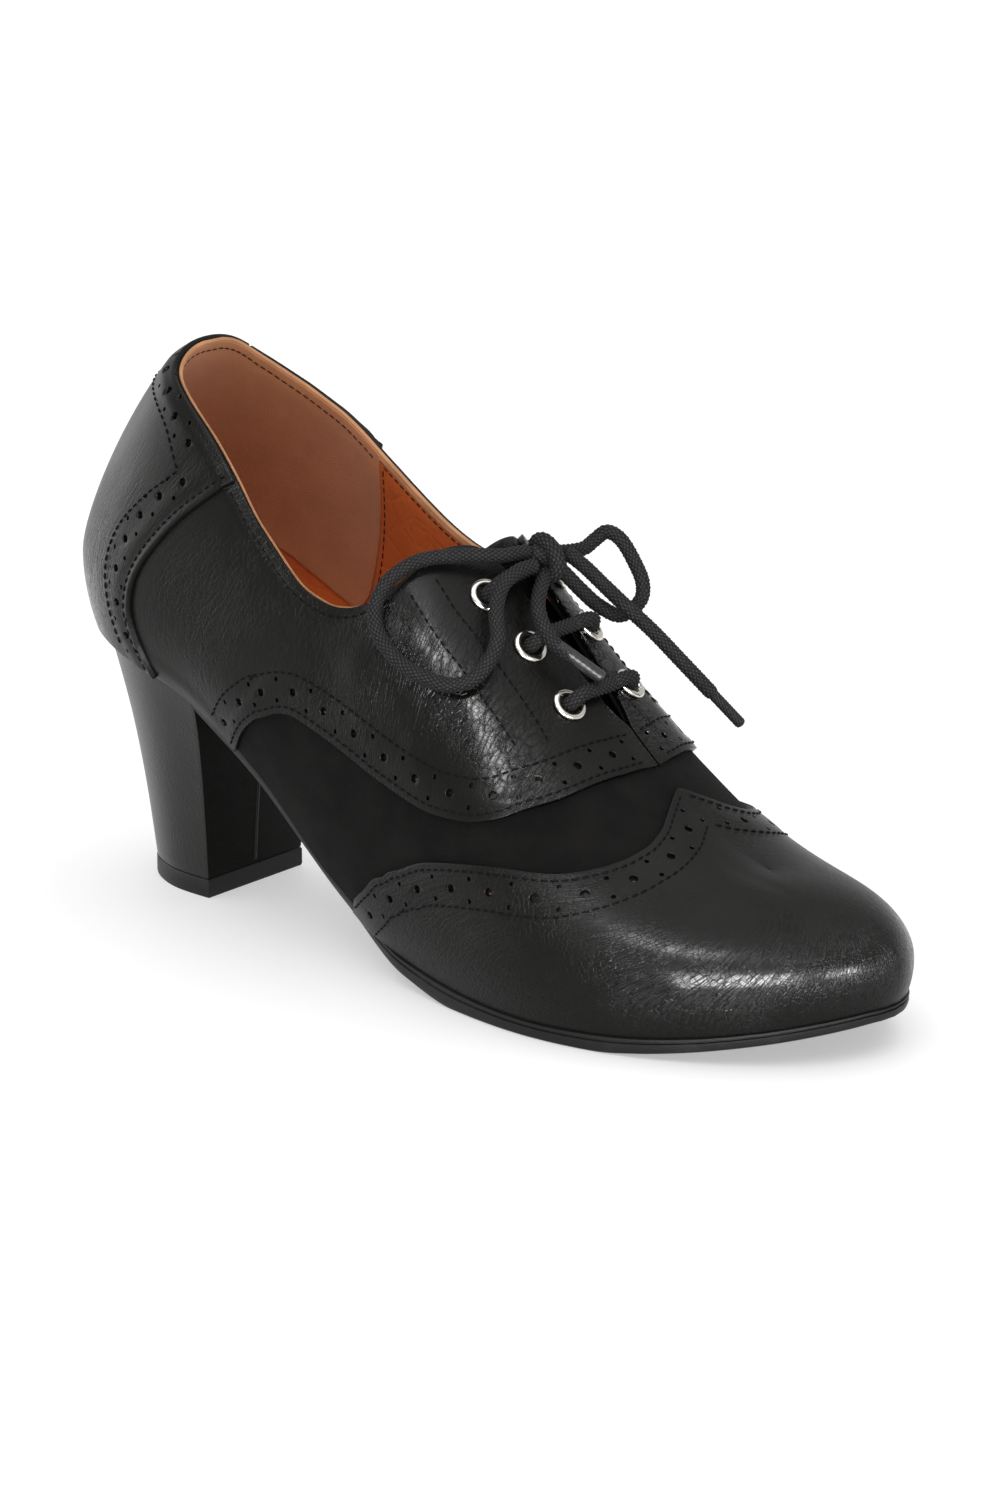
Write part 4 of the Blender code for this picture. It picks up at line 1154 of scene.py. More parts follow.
def braided_cord(name, path, sizes, narrow=1.0, sleeved=0.0, worked=1.0):
    """A braided tube along a path, with rounded ends. It is pressed thin where a sleeve covers its far end.

    Worked is the share of the braid's depth that shows.
    """
    radius = sizes.diameter / 2 / MM * narrow
    across, other = transported_frames(path)
    length = lengths_along(path)
    bare = length[-1] - sleeved
    angles = np.arange(BRAID_SIDES) * 2 * math.pi / BRAID_SIDES
    lay = math.pi / (sizes.lay / MM)
    first = np.sin(BRAID_STRANDS * angles + lay * length[:, None])
    second = np.sin(BRAID_STRANDS * angles - lay * length[:, None])
    relief = np.abs(first * second) ** 0.8
    to_end = np.minimum(length, length[-1] - length)[:, None]
    rounded = np.sqrt(np.clip(1.0 - (1.0 - np.clip(to_end / 0.8, 0.0, 1.0)) ** 2, 0.12, 1.0))
    covered = fade(length, bare - SLEEVE_EASE, bare + SLEEVE_EASE)[:, None]
    pressed = 1.0 - SLEEVE_PRESS * covered * (sleeved > 0.0)
    depth = sizes.relief * worked
    thick = radius * (1.0 - depth + depth * relief) * rounded * pressed
    ring = across[:, None] * np.cos(angles)[None, :, None] + other[:, None] * np.sin(angles)[None, :, None]
    verts = (path[:, None] + ring * thick[..., None]).reshape(-1, 3)
    faces = ring_faces(len(path), BRAID_SIDES) + end_faces(len(path), BRAID_SIDES)
    piece = mesh_piece(name, verts, faces)
    # The braid's relief, which the lace's finish turns into painted shade in the gaps and painted highlight
    # on the strands.
    weave = piece.data.attributes.new("weave", "FLOAT", "POINT")
    weave.data.foreach_set("value", relief.ravel())
    smooth_shading(piece, 70.0)
    return piece


def stacked_rings(name, rings):
    """A solid through rings of points from bottom to top, its ends closed by rungs."""
    levels, count = len(rings), len(rings[0])
    faces = ring_faces(levels, count)
    for base, turned in ((0, True), ((levels - 1) * count, False)):
        for k in range(count // 2):
            corners = dict.fromkeys((k, k + 1, count - 2 - k, count - 1 - k))
            face = [base + index for index in corners]
            faces.append(face[::-1] if turned else face)
    piece = mesh_piece(name, np.concatenate(rings), faces)
    edit_all(piece, face_outwards)
    return piece


def at_height(plan, height):
    return np.concatenate([plan, np.broadcast_to(height, plan.shape[:1])[:, None]], axis=1)


def loop_turns(start, count):
    """Turns from a station on the outer side, round the toe, back to it on the inner side."""
    share = np.linspace(0.0, 1.0, count)
    eased = share - 0.09 * np.sin(2 * math.pi * share)
    stations = (start + (TOE_TIP - start) * eased)[:-1]
    return np.concatenate([turn_at(stations, OUTER), [TOE_TURN], turn_at(stations[::-1], INNER)])


def round_heel(stations):
    """Turns from the last station on the inner side, round the back, to that station on the outer side."""
    return np.concatenate([turn_at(stations[::-1], INNER) - 1.0, turn_at(stations, OUTER)])


def across_heel(front, share):
    """Turn at a share of the way round the heel, from a front station on the inner side to the outer side."""
    inner = turn_at(front, INNER) - 1.0
    return inner + (turn_at(front, OUTER) - inner) * share


def ring_turns():
    """Turns round the shoe, closer together where the collar is steep, at the heel and at the toe."""
    stations = np.concatenate([
        5.0 + 35.0 * (1.0 - np.cos(np.linspace(0.0, math.pi / 2, 25))),
        np.linspace(40.0, 108.0, 36)[1:],
        np.linspace(108.0, 138.0, 34)[1:],
        np.linspace(138.0, 205.0, 34)[1:],
        205.0 + 45.0 * np.sin(np.linspace(0.0, math.pi / 2, 30))[1:],
    ])
    turns = np.concatenate([turn_at(stations, OUTER), turn_at(stations[::-1], INNER)[1:]])
    turns[0], turns[-1] = 0.0, 1.0
    return turns


def colour_setting(title, words, value):
    return bpy.props.FloatVectorProperty(
        name=title, description=words, subtype="COLOR", size=3, min=0.0, max=1.0, default=value
    )


def setting(title, words, value, unit="NONE"):
    return bpy.props.FloatProperty(name=title, description=words, unit=unit, default=value)


def length_setting(title, words, value):
    return setting(title, words, value, "LENGTH")


class ShoeColours(bpy.types.PropertyGroup):
    """Colours of the shoe's materials."""

    leather: colour_setting("Leather", "Black leather of panels and heel", (0.0048, 0.0044, 0.0038))
    suede: colour_setting("Suede", "Black suede of the vamp", (0.0046, 0.0042, 0.0039))
    lining: colour_setting("Lining", "Orange-brown lining leather", (0.58, 0.135, 0.026))
    grip: colour_setting("Heel grip", "Pale suede inside the heel", (0.47, 0.195, 0.082))
    insole: colour_setting("Insole", "Footbed leather", (0.56, 0.135, 0.026))
    raw_edge: colour_setting("Raw edge", "Pale cut edge of the lining along the collar", (0.50, 0.25, 0.125))
    backing: colour_setting("Backing", "Backing seen in the punched holes", (0.22, 0.10, 0.045))
    thread: colour_setting("Thread", "Thread of the outside seams", (0.0025, 0.0025, 0.0025))
    lining_thread: colour_setting("Lining thread", "Thread of the inside seams", (0.06, 0.018, 0.008))
    rubber: colour_setting("Rubber", "Sole and heel top piece", (0.0055, 0.0055, 0.0052))
    metal: colour_setting("Eyelets", "Bright plated eyelets", (0.66, 0.63, 0.58))
    cord: colour_setting("Lace", "Charcoal braided lace", (0.0170, 0.0170, 0.0178))
    sleeve: colour_setting("Lace tip", "Clear sleeve of the short lace end", (0.03, 0.03, 0.029))
    floor: colour_setting("Floor", "Studio floor", (0.60, 0.60, 0.60))


class ShoeStitches(bpy.types.PropertyGroup):
    """Sizes of the stitching."""

    pitch: length_setting("Pitch", "Distance between stitches", 0.0024)
    length: length_setting("Length", "Length of one stitch", 0.0019)
    width: length_setting("Width", "Thickness of the thread", 0.00055)
    edge: length_setting("Edge", "Distance of a seam from its edge", 0.0017)


class ShoeHoles(bpy.types.PropertyGroup):
    """Sizes of the punched strips."""

    pitch: length_setting("Pitch", "Distance between large holes of a quarter", 0.0111)
    large: length_setting("Large", "Radius of a large hole", 0.00105)
    small: length_setting("Small", "Radius of a small hole", 0.00058)
    aside: length_setting("Aside", "Small holes from the middle", 0.0027)
    strip: length_setting("Strip", "Width of a punched strip", 0.0104)


class ShoeLace(bpy.types.PropertyGroup):
    """Sizes of the lace."""

    diameter: length_setting("Diameter", "Thickness of the lace", 0.0039)
    lay: length_setting("Lay", "Length of one cross of the braid", 0.0016)
    relief: bpy.props.FloatProperty(
        name="Relief", description="Depth of the braid, as a share", min=0.0, max=0.5, default=0.22
    )


class ShoeStage(bpy.types.PropertyGroup):
    """Strength of the studio lights."""

    even: setting("Even", "Even light from above", 1.6)
    soft: setting("Softness", "Width of the light above", 1.3, "ROTATION")
    instep: setting("Instep", "Soft box over the instep", 2.6, "POWER")
    front: setting("Front", "Low soft box before the toe", 20.0, "POWER")
    right: setting("Right", "Low soft box beside the toe", 7.0, "POWER")
    side: setting("Side", "Panel beside the heel", 9.0, "POWER")
    surround: setting("Surround", "White surroundings", 0.70)
    glow: setting("Glow", "Light of the floor itself", 0.42)


class SHOE_OT_camera(bpy.types.Operator):
    """Set the camera at the shoe's three-quarter view"""

    bl_idname = "shoe.camera"
    bl_label = "Camera"

    def execute(self, context):
        azimuth = math.radians(VIEW_AZIMUTH)
        elevation = math.radians(VIEW_ELEVATION)
        flat = math.cos(elevation)
        back = Vector((math.sin(azimuth) * flat, -math.cos(azimuth) * flat, math.sin(elevation)))
        data = bpy.data.cameras.new("camera")
        data.sensor_width = 36.0
        data.lens = LENS_PIXELS * data.sensor_width / FRAME_HEIGHT
        data.shift_x = (FRAME_WIDTH / 2 - LOOK_PIXEL[0]) / FRAME_HEIGHT
        data.shift_y = (LOOK_PIXEL[1] - FRAME_HEIGHT / 2) / FRAME_HEIGHT
        data.clip_start = 0.01
        camera = bpy.data.objects.new("camera", data)
        context.scene.collection.objects.link(camera)
        camera.location = Vector(LOOK_AT) + back * VIEW_DISTANCE
        camera.rotation_euler = back.to_track_quat("Z", "Y").to_euler()
        context.scene.camera = camera
        return {"FINISHED"}


class SHOE_OT_lace(bpy.types.Operator):
    """Lay the lace: bars through the eyelets, the bow, its ends and their tips"""

    bl_idname = "shoe.lace"
    bl_label = "Lace"

    def execute(self, context):
        sizes = context.scene.shoe_lace
        self.bars(sizes)
        knot = self.knot(sizes)
        tip_long = self.tip("long", LONG_TIP_ROUTE, sizes, "waxed_braid", 0.76, 1.0)
        tip_short = self.tip("short", SHORT_TIP_ROUTE, sizes, "clear_sleeve", 0.88, 0.1)
        cords = (
            ("loop_outer", OUTER_LOOP_ROUTE, "object", 0.0, [knot]),
            ("loop_inner", INNER_LOOP_ROUTE, "object", 0.0, []),
            ("end_long", LONG_END_ROUTE + LONG_TIP_ROUTE[1:], "fitting", 11.0, [tip_long]),
            ("end_short", SHORT_END_ROUTE + SHORT_TIP_ROUTE[1:], "fitting", 10.0, [tip_short]),
        )
        for name, route, far_end, sleeved, carried in cords:
            path = smooth_route(route, BRAID_STEP)
            piece = braided_cord("braid_" + name, path, sizes, 1.0, sleeved)
            finish_piece(piece, "waxed_braid", "lace_" + name)
            line = world(smooth_route(route, 1.5))
            length = float(np.linalg.norm(np.diff(line, axis=0), axis=1).sum())
        return {"FINISHED"}

    def bars(self, sizes):
        """Bars that climb out of an eyelet and cross the slot."""
        inward, lift = np.array(BAR_RISE).T
        for number, (station, v) in enumerate(EYELETS, 1):
            halves = []
            for side in SIDES:
                turn = turn_at(station, side)
                heights = np.linspace(v, 1.0, 60)
                climbed = np.interp(inward, lengths_along(rib_point(turn, heights)), heights)
                halves.append(lifted(turn, np.append(climbed, 1.0), np.append(lift, BAR_MIDDLE_LIFT)))
            outer, inner = halves[0], halves[1][::-1]
            middle = (outer[-1:] + inner[:1]) / 2
            path = smooth_route(np.concatenate([outer[:-1], middle, inner[1:]]), BRAID_STEP)
            piece = braided_cord(f"braid_bar_{number}", path, sizes)
            finish_piece(piece, "waxed_braid", f"lace_bar_{number}")

    def knot(self, sizes):
        """The knot: a strand wrapped round the crossing, and the core that it holds."""
        centre = np.array(KNOT_CENTRE)
        down = unit(np.array([0.68, 0.0, -0.73]))
        out = unit(np.array([0.73, 0.0, 0.68]))
        angles = np.linspace(-0.86, 1.14, 60) * math.pi
        length, height = KNOT_REACH
        wrap = centre + np.outer(np.sin(angles) * length, -down) + np.outer(np.cos(angles) * height, out)
        wrap[:, 1] += np.linspace(-KNOT_ASIDE, KNOT_ASIDE, len(wrap))
        wrapped = braided_cord("braid_knot", smooth_route(wrap[::3], BRAID_STEP), sizes, 1.12)
        core = smooth_route(centre + np.array(KNOT_CORE), BRAID_STEP)
        finish_piece(wrapped, "waxed_braid", "lace_knot")
        finish_piece(braided_cord("braid_knot_core", core, sizes, 1.25), "waxed_braid")
        return wrapped

    def tip(self, name, route, sizes, look, narrow, worked):
        path = smooth_route(route, BRAID_STEP)
        piece = braided_cord("sleeve_" + name, path, sizes, narrow, 0.0, worked)
        return finish_piece(piece, look, "lace_tip_" + name)


class SHOE_OT_upper(bpy.types.Operator):
    """Make the lasted upper with its suede vamp, the lining, the heel grip and the seams inside"""

    bl_idname = "shoe.upper"
    bl_label = "Upper and linings"

    def execute(self, context):
        columns = len(ring_turns()) - 1
        sheets = (
            ("vamp_suede", columns, 40, self.vamp_place, 1.0, 0.3, "black_suede", ["upper"]),
            ("lining", columns, 26, self.lining_place, 1.0, 0.3, "lining_leather", []),
            ("heel_grip", 110, 30, self.grip_place, 0.45, 0.15, "grip_suede", []),
        )
        for name, across, up, place, thick, round_edge, look, nodes in sheets:
            sheet = add_sheet(name, across, up, place)
            add_wall(sheet, thick, round_edge)
            smooth_shading(sheet)
            finish_piece(sheet, look, *nodes)
        self.rim()
        self.seams()
        return {"FINISHED"}

    def shell(self, across, up, lift, short, below, thinned):
        """Round the shoe and up to the collar, or to some way below it and short of the lacing slot."""
        turns = ring_turns()
        turn = np.interp(across, np.linspace(0.0, 1.0, len(turns)), turns)
        station = station_of(turn)
        open_top = fade(station, 172.0, 168.0)
        cut = short * fade(station, 122.0, 129.0) * open_top + below * open_top
        v = np.minimum((top_v(turn) - cut) * up, 1.0)
        return lifted(turn, v, lift + thinned * pared(turn, v))

    def vamp_place(self, across, up):
        return self.shell(across, up, 0.0, 0.0, 0.0, 0.0)

    def lining_place(self, across, up):
        return self.shell(across, up, LINING_LIFT, SLOT_SHORT_V, LINING_BELOW_V, PARED_INSIDE)

    def grip_place(self, across, up):
        """Inside the heel, from seam to seam and from its lower edge to the collar."""
        foot = GRIP_FRONT[0][0]
        turn = across_heel(GRIP(foot + (1.0 - foot) * up), across)
        low = GRIP_FOOT(station_of(turn))
        v = low + (top_v(turn) * 0.998 - low) * up
        return lifted(turn, v, GRIP_LIFT + PARED_INSIDE * pared(turn, v))

    def rim(self):
        """The pale cut edge of the lining, along the collar and the facings."""
        stations = np.concatenate([np.linspace(5.5, 108.0, 120), np.linspace(108.6, 123.0, 50)])
        turns = round_heel(stations)
        edge = top_v(turns) + 0.003
        rings = np.stack([lifted(turns, edge - drop, lift) for drop, lift in RIM_SECTION], 1)
        levels, count = rings.shape[:2]
        faces = ring_faces(levels, count) + end_faces(levels, count)
        piece = mesh_piece("lining_edge", rings.reshape(-1, 3), faces)
        edit_all(piece, face_outwards)
        smooth_shading(piece, 50.0)
        finish_piece(piece, "raw_edge")

    def seams(self):
        """Stitching of the lining: below the collar, and down the front of the heel grip."""
        share = np.linspace(0.30, 0.97, 60)
        rows = []
        for side in SIDES:
            turn = turn_at(GRIP(share) + 1.5, side)
            rows.append((self.inside_row(turn, top_v(turn) * share, LINING_SEAM_LIFT), 0.0, 0.0))
        turn = round_heel(np.linspace(5.5, 67.0, 80))
        rows.append((self.inside_row(turn, top_v(turn) - SEAM_BELOW_V, GRIP_SEAM_LIFT), 1.0, 1.0))
        for side in SIDES:
            turn = turn_at(np.linspace(69.5, 126.0, 80), side)
            rows.append((self.inside_row(turn, top_v(turn) - SEAM_BELOW_V, LINING_SEAM_LIFT), 0.0, 0.0))
        stitch_rows("lining_seams", rows, "lining_thread")

    def inside_row(self, turn, v, lift):
        return Row(turn, v, lambda t, h: lift + PARED_INSIDE * pared(t, h))


class SHOE_OT_wing_cap(bpy.types.Operator):
    """Make the winged toe cap with its punched strip and stitching"""

    bl_idname = "shoe.wing_cap"
    bl_label = "Wing cap"

    def execute(self, context):
        cap = add_sheet("cap_leather", 240, 84, self.place, (330.0, 70.0))
        add_wall(cap, PANEL_LIFT - PANEL_GAP, PANEL_EDGE)
        seams, punched = [], []
        heights = np.linspace(0.02, 1.0, 300)
        for side in SIDES:
            turn = turn_at(CAP_BACK(heights), side)
            inwards = -1.0 if side == OUTER else 1.0
            near, far, middle = strip_rows(turn, heights, cap_lift, inwards)
            seams += [(near, 1.5, 0.6), (far, 1.0, 1.2)]
            punched.append((middle, 2.0, 1.0))
        punch_rows(cap, punched, CAP_SPREAD)
        dress_leather(cap, "wing_cap")
        stitch_rows("cap_stitching", seams)
        return {"FINISHED"}

    def place(self, across, up):
        """From the winged edge of one side round the toe to the other side."""
        outer = across <= 0.5
        share = np.sin((1.0 - np.abs(2.0 * across - 1.0)) * math.pi / 2)
        back = CAP_BACK(up)
        station = back + (TOE_TIP - back) * share
        turn = np.where(outer, turn_at(station, OUTER), turn_at(station, INNER))
        turn = np.where(np.abs(across - 0.5) < 1e-6, TOE_TURN, turn)
        v = np.maximum(up, low_v(station))
        lap = fade(station, 126.0, 112.0) * fade(v, 0.07, 0.0)
        points = lifted(turn, v, cap_lift(turn, v) - CAP_LAP_IN * lap)
        points[:, 2] -= CAP_LAP_DOWN * lap
        return points


class SHOE_OT_quarters(bpy.types.Operator):
    """Make the two quarters with their facings, punched strips and stitching"""

    bl_idname = "shoe.quarters"
    bl_label = "Quarters"

    def execute(self, context):
        stations = np.concatenate([np.linspace(70.3, 164.0, 220), np.linspace(164.2, 177.0, 120)])
        hem = np.append(np.maximum(QUARTER_LOW(stations), low_v(stations)), QUARTER_TIP[1])
        top = np.linspace(66.5, 131.0, 200)
        facing = np.array(FACING_BACK)[1:-1] + np.array([0.0, 0.012])
        for side in SIDES:
            name = "quarter_leather_" + side
            quarter = add_sheet(name, 150, 54, lambda a, u: self.place(a, u, side), (115.0, 60.0))
            add_wall(quarter, PANEL_LIFT - PANEL_GAP, PANEL_EDGE)
            inwards = 1.0 if side == OUTER else -1.0
            turn = turn_at(np.append(stations, QUARTER_TIP[0]), side)
            near, far, middle = strip_rows(turn, hem, quarter_lift, inwards)
            collar = Row(turn_at(top, side), TOP_EDGE[side](top), quarter_lift, -inwards * 2.3)
            rows = [
                (near, 2.0, 2.0),
                (far, 3.0, 1.0),
                (collar, 0.5, 0.0),
                (side_row(facing, side, quarter_lift), 0.5, 0.0),
                (side_row(FACING_FRONT_ROW, side, quarter_lift), 0.5, 0.0),
            ]
            punch_rows(quarter, [(middle, 1.0, 3.0)], 1.0)
            dress_leather(quarter, "quarter_" + side)
            stitch_rows("quarter_stitching_" + side, rows)
        return {"FINISHED"}

    def place(self, across, up, side):
        """From the counter to the tip at the throat, and from the scalloped edge to the collar."""
        if side == INNER:
            across = 1.0 - across
        back = COUNTER(up) - 1.5
        shares, stations = np.array(QUARTER_SPACING).T
        first = back + (stations[0] - back) * np.clip(across / shares[0], 0.0, 1.0)
        station = np.where(across < shares[0], first, np.interp(across, shares, stations))
        low = np.maximum(QUARTER_LOW(station), low_v(station))
        hem_end, hem_v = QUARTER_EDGE[-1]
        low = np.where(station > hem_end, hem_v + (QUARTER_TIP[1] - hem_v) * (station - hem_end), low)
        high = np.minimum(TOP_EDGE[side](station), SEAM_V)
        v = low + (high - low) * up
        turn = turn_at(station, side)
        return lifted(turn, v, quarter_lift(turn, v))


class SHOE_OT_counter(bpy.types.Operator):
    """Make the counter round the heel with its punched strip and stitching"""

    bl_idname = "shoe.counter"
    bl_label = "Counter"

    def execute(self, context):
        counter = add_sheet("counter_leather", 130, 60, self.place, (150.0, 70.0))
        add_wall(counter, COUNTER_LIFT - PANEL_GAP, COUNTER_EDGE)
        edge = context.scene.shoe_stitches.edge / MM + 0.5
        share = np.linspace(0.03, 0.985, 240)
        rows, punched = [], []
        for side in SIDES:
            inwards = 1.0 if side == OUTER else -1.0
            turn = turn_at(COUNTER(share), side)
            rows += [
                (Row(turn, top_v(turn) * share, counter_lift, inwards * edge), 0.5, 0.5),
                (self.strip_row(COUNTER_SEAM_LOW, side), 0.0, 0.0),
                (self.strip_row(COUNTER_SEAM_TOP, side), 0.0, 0.0),
            ]
            punched.append((self.strip_row(COUNTER_HOLES_LOW, side), 0.0, 0.0))
            punched.append((self.strip_row(COUNTER_HOLES_TOP, side), 4.0, 0.0))
        punch_rows(counter, punched, COUNTER_SPREAD)
        dress_leather(counter, "counter")
        stitch_rows("counter_stitching", rows)
        return {"FINISHED"}

    def strip_row(self, places, side):
        """A row of the strip. It lies lower on the inner side, as the collar does."""
        station, v = np.array(places).T
        lowered = v * TOP_EDGE[side](station) / TOP_EDGE[OUTER](station)
        return side_row(np.stack([station, lowered], -1), side, counter_lift)

    def place(self, across, up):
        turn = across_heel(COUNTER(up), across)
        v = np.maximum(top_v(turn) * up, low_v(station_of(turn)))
        return lifted(turn, v, counter_lift(turn, v))


class SHOE_OT_tongue(bpy.types.Operator):
    """Make the tongue with its rolled top"""

    bl_idname = "shoe.tongue"
    bl_label = "Tongue"

    def execute(self, context):
        tongue = add_sheet("tongue_leather", 40, 60, self.place, (30.0, 50.0))
        add_wall(tongue, TONGUE_THICK, TONGUE_EDGE)
        dress_leather(tongue, "tongue")
        return {"FINISHED"}

    def place(self, across, up):
        """Across from the outer side to the inner side, and up from the vamp to the collar."""
        points = np.empty((len(up), 3))
        for level in np.unique(np.round(up, 5)):
            row = np.abs(up - level) < 1e-4
            line = smooth_route(self.section(level), 0.2)
            share = np.linspace(0.0, 1.0, len(line))
            points[row] = np.stack([np.interp(across[row], share, column) for column in line.T], -1)
        return points

    def section(self, level):
        """Points across the tongue at one level. Its top rolls up on the inner side."""
        station = TONGUE_FOOT + (TONGUE_TOP - TONGUE_FOOT) * level
        roll = TONGUE_ROLL * fade(level, 0.86, 1.0)
        return np.array([
            lifted(turn_at(station, side), v, TONGUE_LIFT + roll * share) for side, v, share in TONGUE_SECTION
        ])


class SHOE_OT_eyelets(bpy.types.Operator):
    """Turn the eyelets and set them in the facings"""

    bl_idname = "shoe.eyelets"
    bl_label = "Eyelets"

    def execute(self, context):
        model = self.turned()
        for side in SIDES:
            for number, (station, v) in enumerate(EYELETS, 1):
                turn = turn_at(station, side)
                axis = Vector(normal_at(turn, v))
                spot = Vector(world(rib_point(turn, v)))
                mesh = model.copy()
                mesh.transform(Matrix.Translation(spot) @ axis.to_track_quat("Z", "Y").to_matrix().to_4x4())
                eyelet = bpy.data.objects.new(f"eyelet_ring_{side}_{number}", mesh)
                context.scene.collection.objects.link(eyelet)
                smooth_shading(eyelet, 60.0)
                finish_piece(eyelet, "bright_metal", f"eyelet_{side}_{number}")
        return {"FINISHED"}

    def turned(self):
        """One eyelet, spun from its section."""
        mesh = bpy.data.meshes.new("eyelet_model")
        count = len(EYELET_PROFILE)
        verts = [(radius * MM, 0.0, (height + EYELET_LIFT) * MM) for radius, height in EYELET_PROFILE]
        mesh.from_pydata(verts, [(k, (k + 1) % count) for k in range(count)], [])
        piece = bpy.data.objects.new("eyelet_model", mesh)
        bpy.context.scene.collection.objects.link(piece)
        edit_all(piece, self.spin, merge_near(0.001), face_outwards)
        bpy.data.objects.remove(piece, do_unlink=True)
        return mesh

    def spin(self):
        bpy.ops.mesh.spin(steps=48, angle=2 * math.pi, center=(0.0, 0.0, 0.0), axis=(0.0, 0.0, 1.0))


class SHOE_OT_insole(bpy.types.Operator):
    """Lay the insole"""

    bl_idname = "shoe.insole"
    bl_label = "Insole"

    def execute(self, context):
        turns = loop_turns(HEEL_BACK + 0.3, 120)
        rings = []
        for inset, height in INSOLE_PROFILE:
            plan = offset_outline(turns, -inset)
            rings.append(at_height(plan, LAST["feather"](plan[:, 0]) + height))
        piece = stacked_rings("footbed", rings)
        smooth_shading(piece, 50.0)
        finish_piece(piece, "insole_leather", "insole")
        return {"FINISHED"}


class SHOE_OT_outsole(bpy.types.Operator):
    """Make the sole with its grooved edge"""

    bl_idname = "shoe.outsole"
    bl_label = "Outsole"

    def execute(self, context):
        turns = loop_turns(BREAST + 0.3, 160)
        forepart = fade(station_of(turns), 108.0, 134.0)
        rings = []
        for share, inset in SOLE_PROFILE:
            waist_inset = WAIST_INSET * (1.0 - share) ** 2
            reach = forepart * (SOLE_LIP - inset) - (1.0 - forepart) * waist_inset
            plan = offset_outline(turns, reach)
            plan[0, 0] = plan[-1, 0] = BREAST + 0.3
            low = SOLE_LOW(plan[:, 0])
            high = LAST["feather"](plan[:, 0]) - SEAT_GAP
            rings.append(at_height(plan, low + (high - low) * share))
        piece = stacked_rings("sole_rubber", rings)
        smooth_shading(piece, 40.0)
        finish_piece(piece, "black_rubber", "outsole")
        return {"FINISHED"}


class SHOE_OT_heel(bpy.types.Operator):
    """Make the covered heel, the seam of its cover and its top piece"""

    bl_idname = "shoe.heel"
    bl_label = "Heel"

    def execute(self, context):
        block = stacked_rings("heel_cover", self.rings(np.linspace(0.0, 1.0, 24), HEEL_FOOT))
        ease_edges(block, 0.9, 3, 40.0)
        smooth_shading(block, 35.0)
        finish_piece(block, "heel_leather", "heel_block")
        # Faces turned forward, the breast, take the duller copy of the heel leather: painted shade by lower
        # gloss.
        block.data.materials.append(finish("breast_leather"))
        for face in block.data.polygons:
            face.material_index = int(face.normal.x > 0.7)
        foot = self.rings([0.0], 0.0)[0]
        grown = (foot - foot.mean(0)) * np.array([TIP_GROWTH, TIP_GROWTH, 1.0]) + foot.mean(0)
        levels = ((foot, 0.0), (grown, TIP_EASE_LOW), (grown, TOP_PIECE - TIP_EASE_HIGH), (foot, TOP_PIECE))
        top = stacked_rings("heel_tip", [ring + [0.0, 0.0, height] for ring, height in levels])
        smooth_shading(top, 35.0)
        finish_piece(top, "black_rubber", "heel_top_piece")
        self.cover_seam()
        return {"FINISHED"}

    def rings(self, rises, foot):
        """Rings of the heel between its foot and the seat under the upper."""
        turns = across_heel(BREAST, np.linspace(0.0, 1.0, 97))
        plan = offset_outline(turns, -HEEL_INSET)
        plan[0, 0] = plan[-1, 0] = BREAST
        seat = LAST["feather"](plan[:, 0]) - SEAT_GAP
        rings = []
        for rise in rises:
            station = HEEL["breast"](rise) - (BREAST - plan[:, 0]) * HEEL["length"](rise)
            ring = np.stack([station, plan[:, 1] * HEEL["width"](rise)], -1)
            rings.append(at_height(ring, foot + (seat - foot) * rise))
        return rings

    def cover_seam(self):
        """The upright seam of the leather cover on the heel's breast."""
        rise = np.linspace(0.02, 0.96, 40)
        height = HEEL_FOOT + (LAST["feather"](BREAST) - SEAT_GAP - HEEL_FOOT) * rise
        path = np.stack([HEEL["breast"](rise) + 0.05, -0.6 + 0.5 * rise, height], -1)
        section = np.array([(out, side, 0.0) for out, side in HEEL_SEAM])
        levels, count = len(path), len(section)
        faces = ring_faces(levels, count) + end_faces(levels, count)
        seam = mesh_piece("heel_seam", (path[:, None] + section).reshape(-1, 3), faces)
        smooth_shading(seam, 60.0)
        finish_piece(seam, "heel_leather")


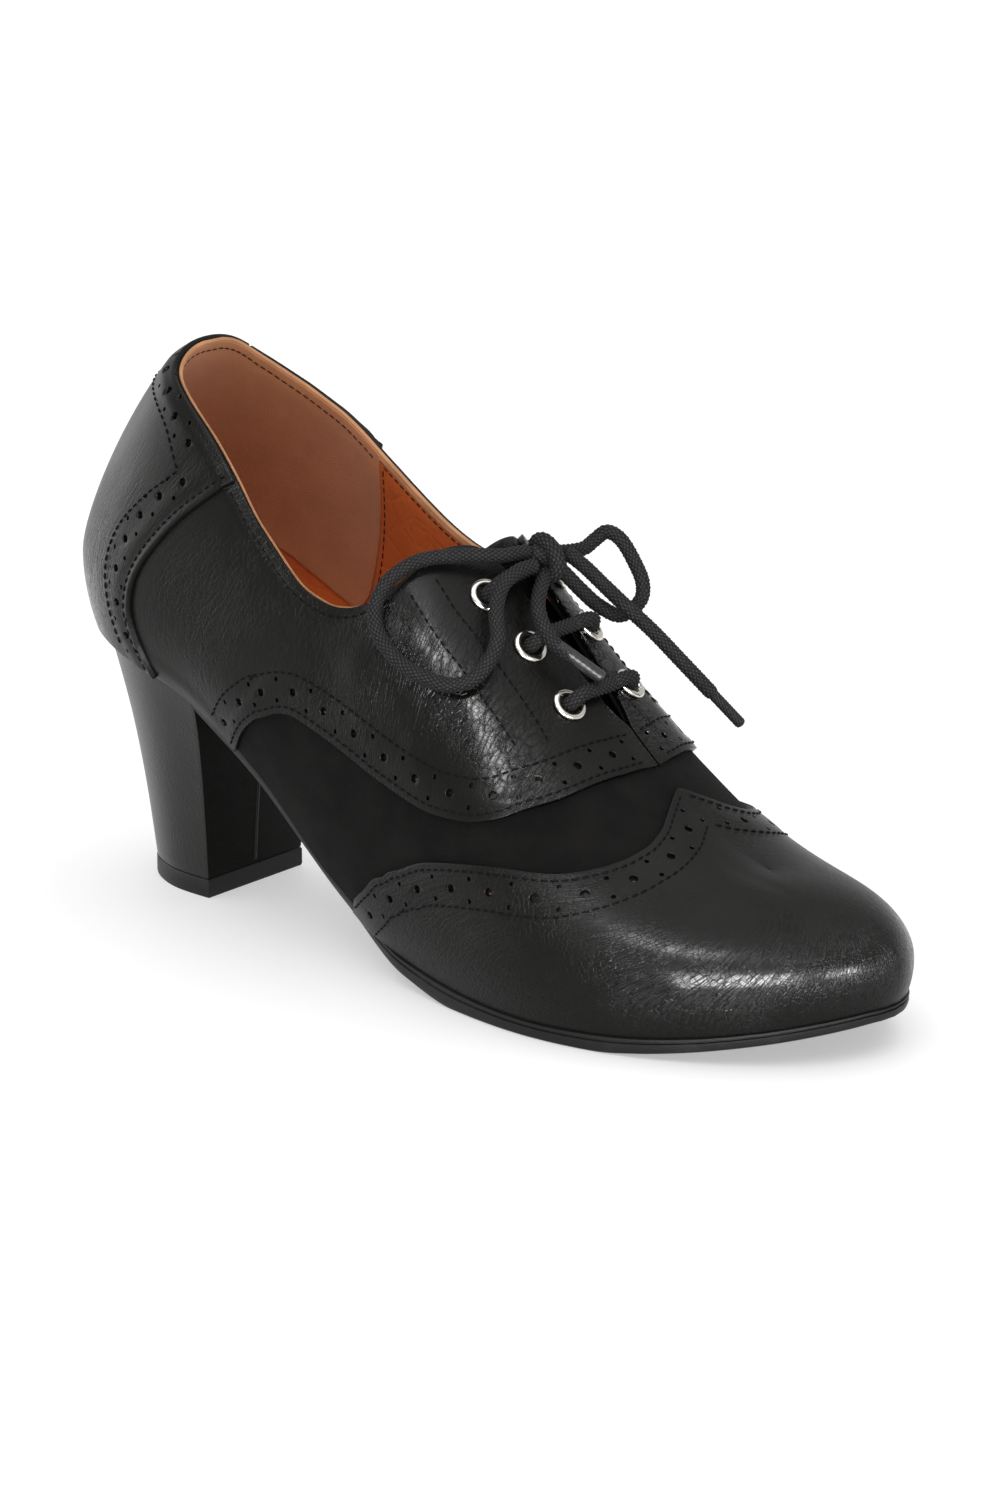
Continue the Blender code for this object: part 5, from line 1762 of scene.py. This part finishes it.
class SHOE_OT_stage(bpy.types.Operator):
    """Set the floor, the white surroundings and the studio lights"""

    bl_idname = "shoe.stage"
    bl_label = "Stage"

    def execute(self, context):
        stage = context.scene.shoe_stage
        context.scene.view_settings.view_transform = "Standard"
        deselect()
        bpy.ops.mesh.primitive_plane_add(size=14.0, location=(0.0, 0.0, 0.0))
        floor = context.active_object
        floor.name = "floor"
        colour = tuple(context.scene.shoe_colours.floor)
        material, shader, wire = new_finish(
            "studio_floor", colour, 0.55, Specular_IOR_Level=0.2, Emission_Strength=stage.glow
        )
        shader.inputs["Emission Color"].default_value = (1.0, 1.0, 1.0, 1.0)
        tone = wire.blend(wire.noise(place_of(wire), 3.0), shade(colour, 0.995), shade(colour, 1.005))
        join_finish(wire, shader, Base_Color=tone)
        floor.data.materials.append(material)
        world_look = bpy.data.worlds.new("studio")
        world_look.use_nodes = True
        surround = world_look.node_tree.nodes["Background"]
        surround.inputs["Color"].default_value = (1.0, 1.0, 1.0, 1.0)
        surround.inputs["Strength"].default_value = stage.surround
        context.scene.world = world_look
        even = bpy.data.lights.new("even", "SUN")
        even.energy = stage.even
        even.angle = stage.soft
        self.hang(even, (0.1, -0.08, 1.0), (0.0, 0.0, 0.0))
        for name, place, target, size in SOFT_BOXES:
            box = bpy.data.lights.new(name, "AREA")
            box.shape = "RECTANGLE"
            box.size, box.size_y = size
            box.energy = getattr(stage, name)
            self.hang(box, place, target).visible_diffuse = False
        return {"FINISHED"}

    def hang(self, data, place, target):
        lamp = bpy.data.objects.new(data.name, data)
        bpy.context.scene.collection.objects.link(lamp)
        lamp.location = place
        lamp.rotation_euler = (Vector(place) - Vector(target)).to_track_quat("Z", "Y").to_euler()
        return lamp


STEPS = (
    SHOE_OT_camera,
    SHOE_OT_lace,
    SHOE_OT_upper,
    SHOE_OT_wing_cap,
    SHOE_OT_quarters,
    SHOE_OT_counter,
    SHOE_OT_tongue,
    SHOE_OT_eyelets,
    SHOE_OT_insole,
    SHOE_OT_outsole,
    SHOE_OT_heel,
    SHOE_OT_stage,
)
GROUPS = (
    ("shoe_colours", ShoeColours),
    ("shoe_stitches", ShoeStitches),
    ("shoe_holes", ShoeHoles),
    ("shoe_lace", ShoeLace),
    ("shoe_stage", ShoeStage),
)


class SHOE_PT_panel(bpy.types.Panel):
    """Lists the steps that build the shoe"""

    bl_idname = "SHOE_PT_panel"
    bl_label = "Heeled brogue shoe"
    bl_space_type = "VIEW_3D"
    bl_region_type = "UI"
    bl_category = "Shoe"

    def draw(self, context):
        for step in STEPS:
            self.layout.operator(step.bl_idname)
        for name, group in GROUPS:
            box = self.layout.box()
            values = getattr(context.scene, name)
            for value in group.__annotations__:
                box.prop(values, value)


def register():
    for name, group in GROUPS:
        bpy.utils.register_class(group)
        setattr(bpy.types.Scene, name, bpy.props.PointerProperty(type=group))
    for step in STEPS:
        bpy.utils.register_class(step)
    bpy.utils.register_class(SHOE_PT_panel)


def unregister():
    bpy.utils.unregister_class(SHOE_PT_panel)
    for step in reversed(STEPS):
        bpy.utils.unregister_class(step)
    for name, group in reversed(GROUPS):
        delattr(bpy.types.Scene, name)
        bpy.utils.unregister_class(group)


def main():
    register()
    for step in STEPS:
        area, name = step.bl_idname.split(".")
        getattr(getattr(bpy.ops, area), name)()


if __name__ == "__main__":
    main()
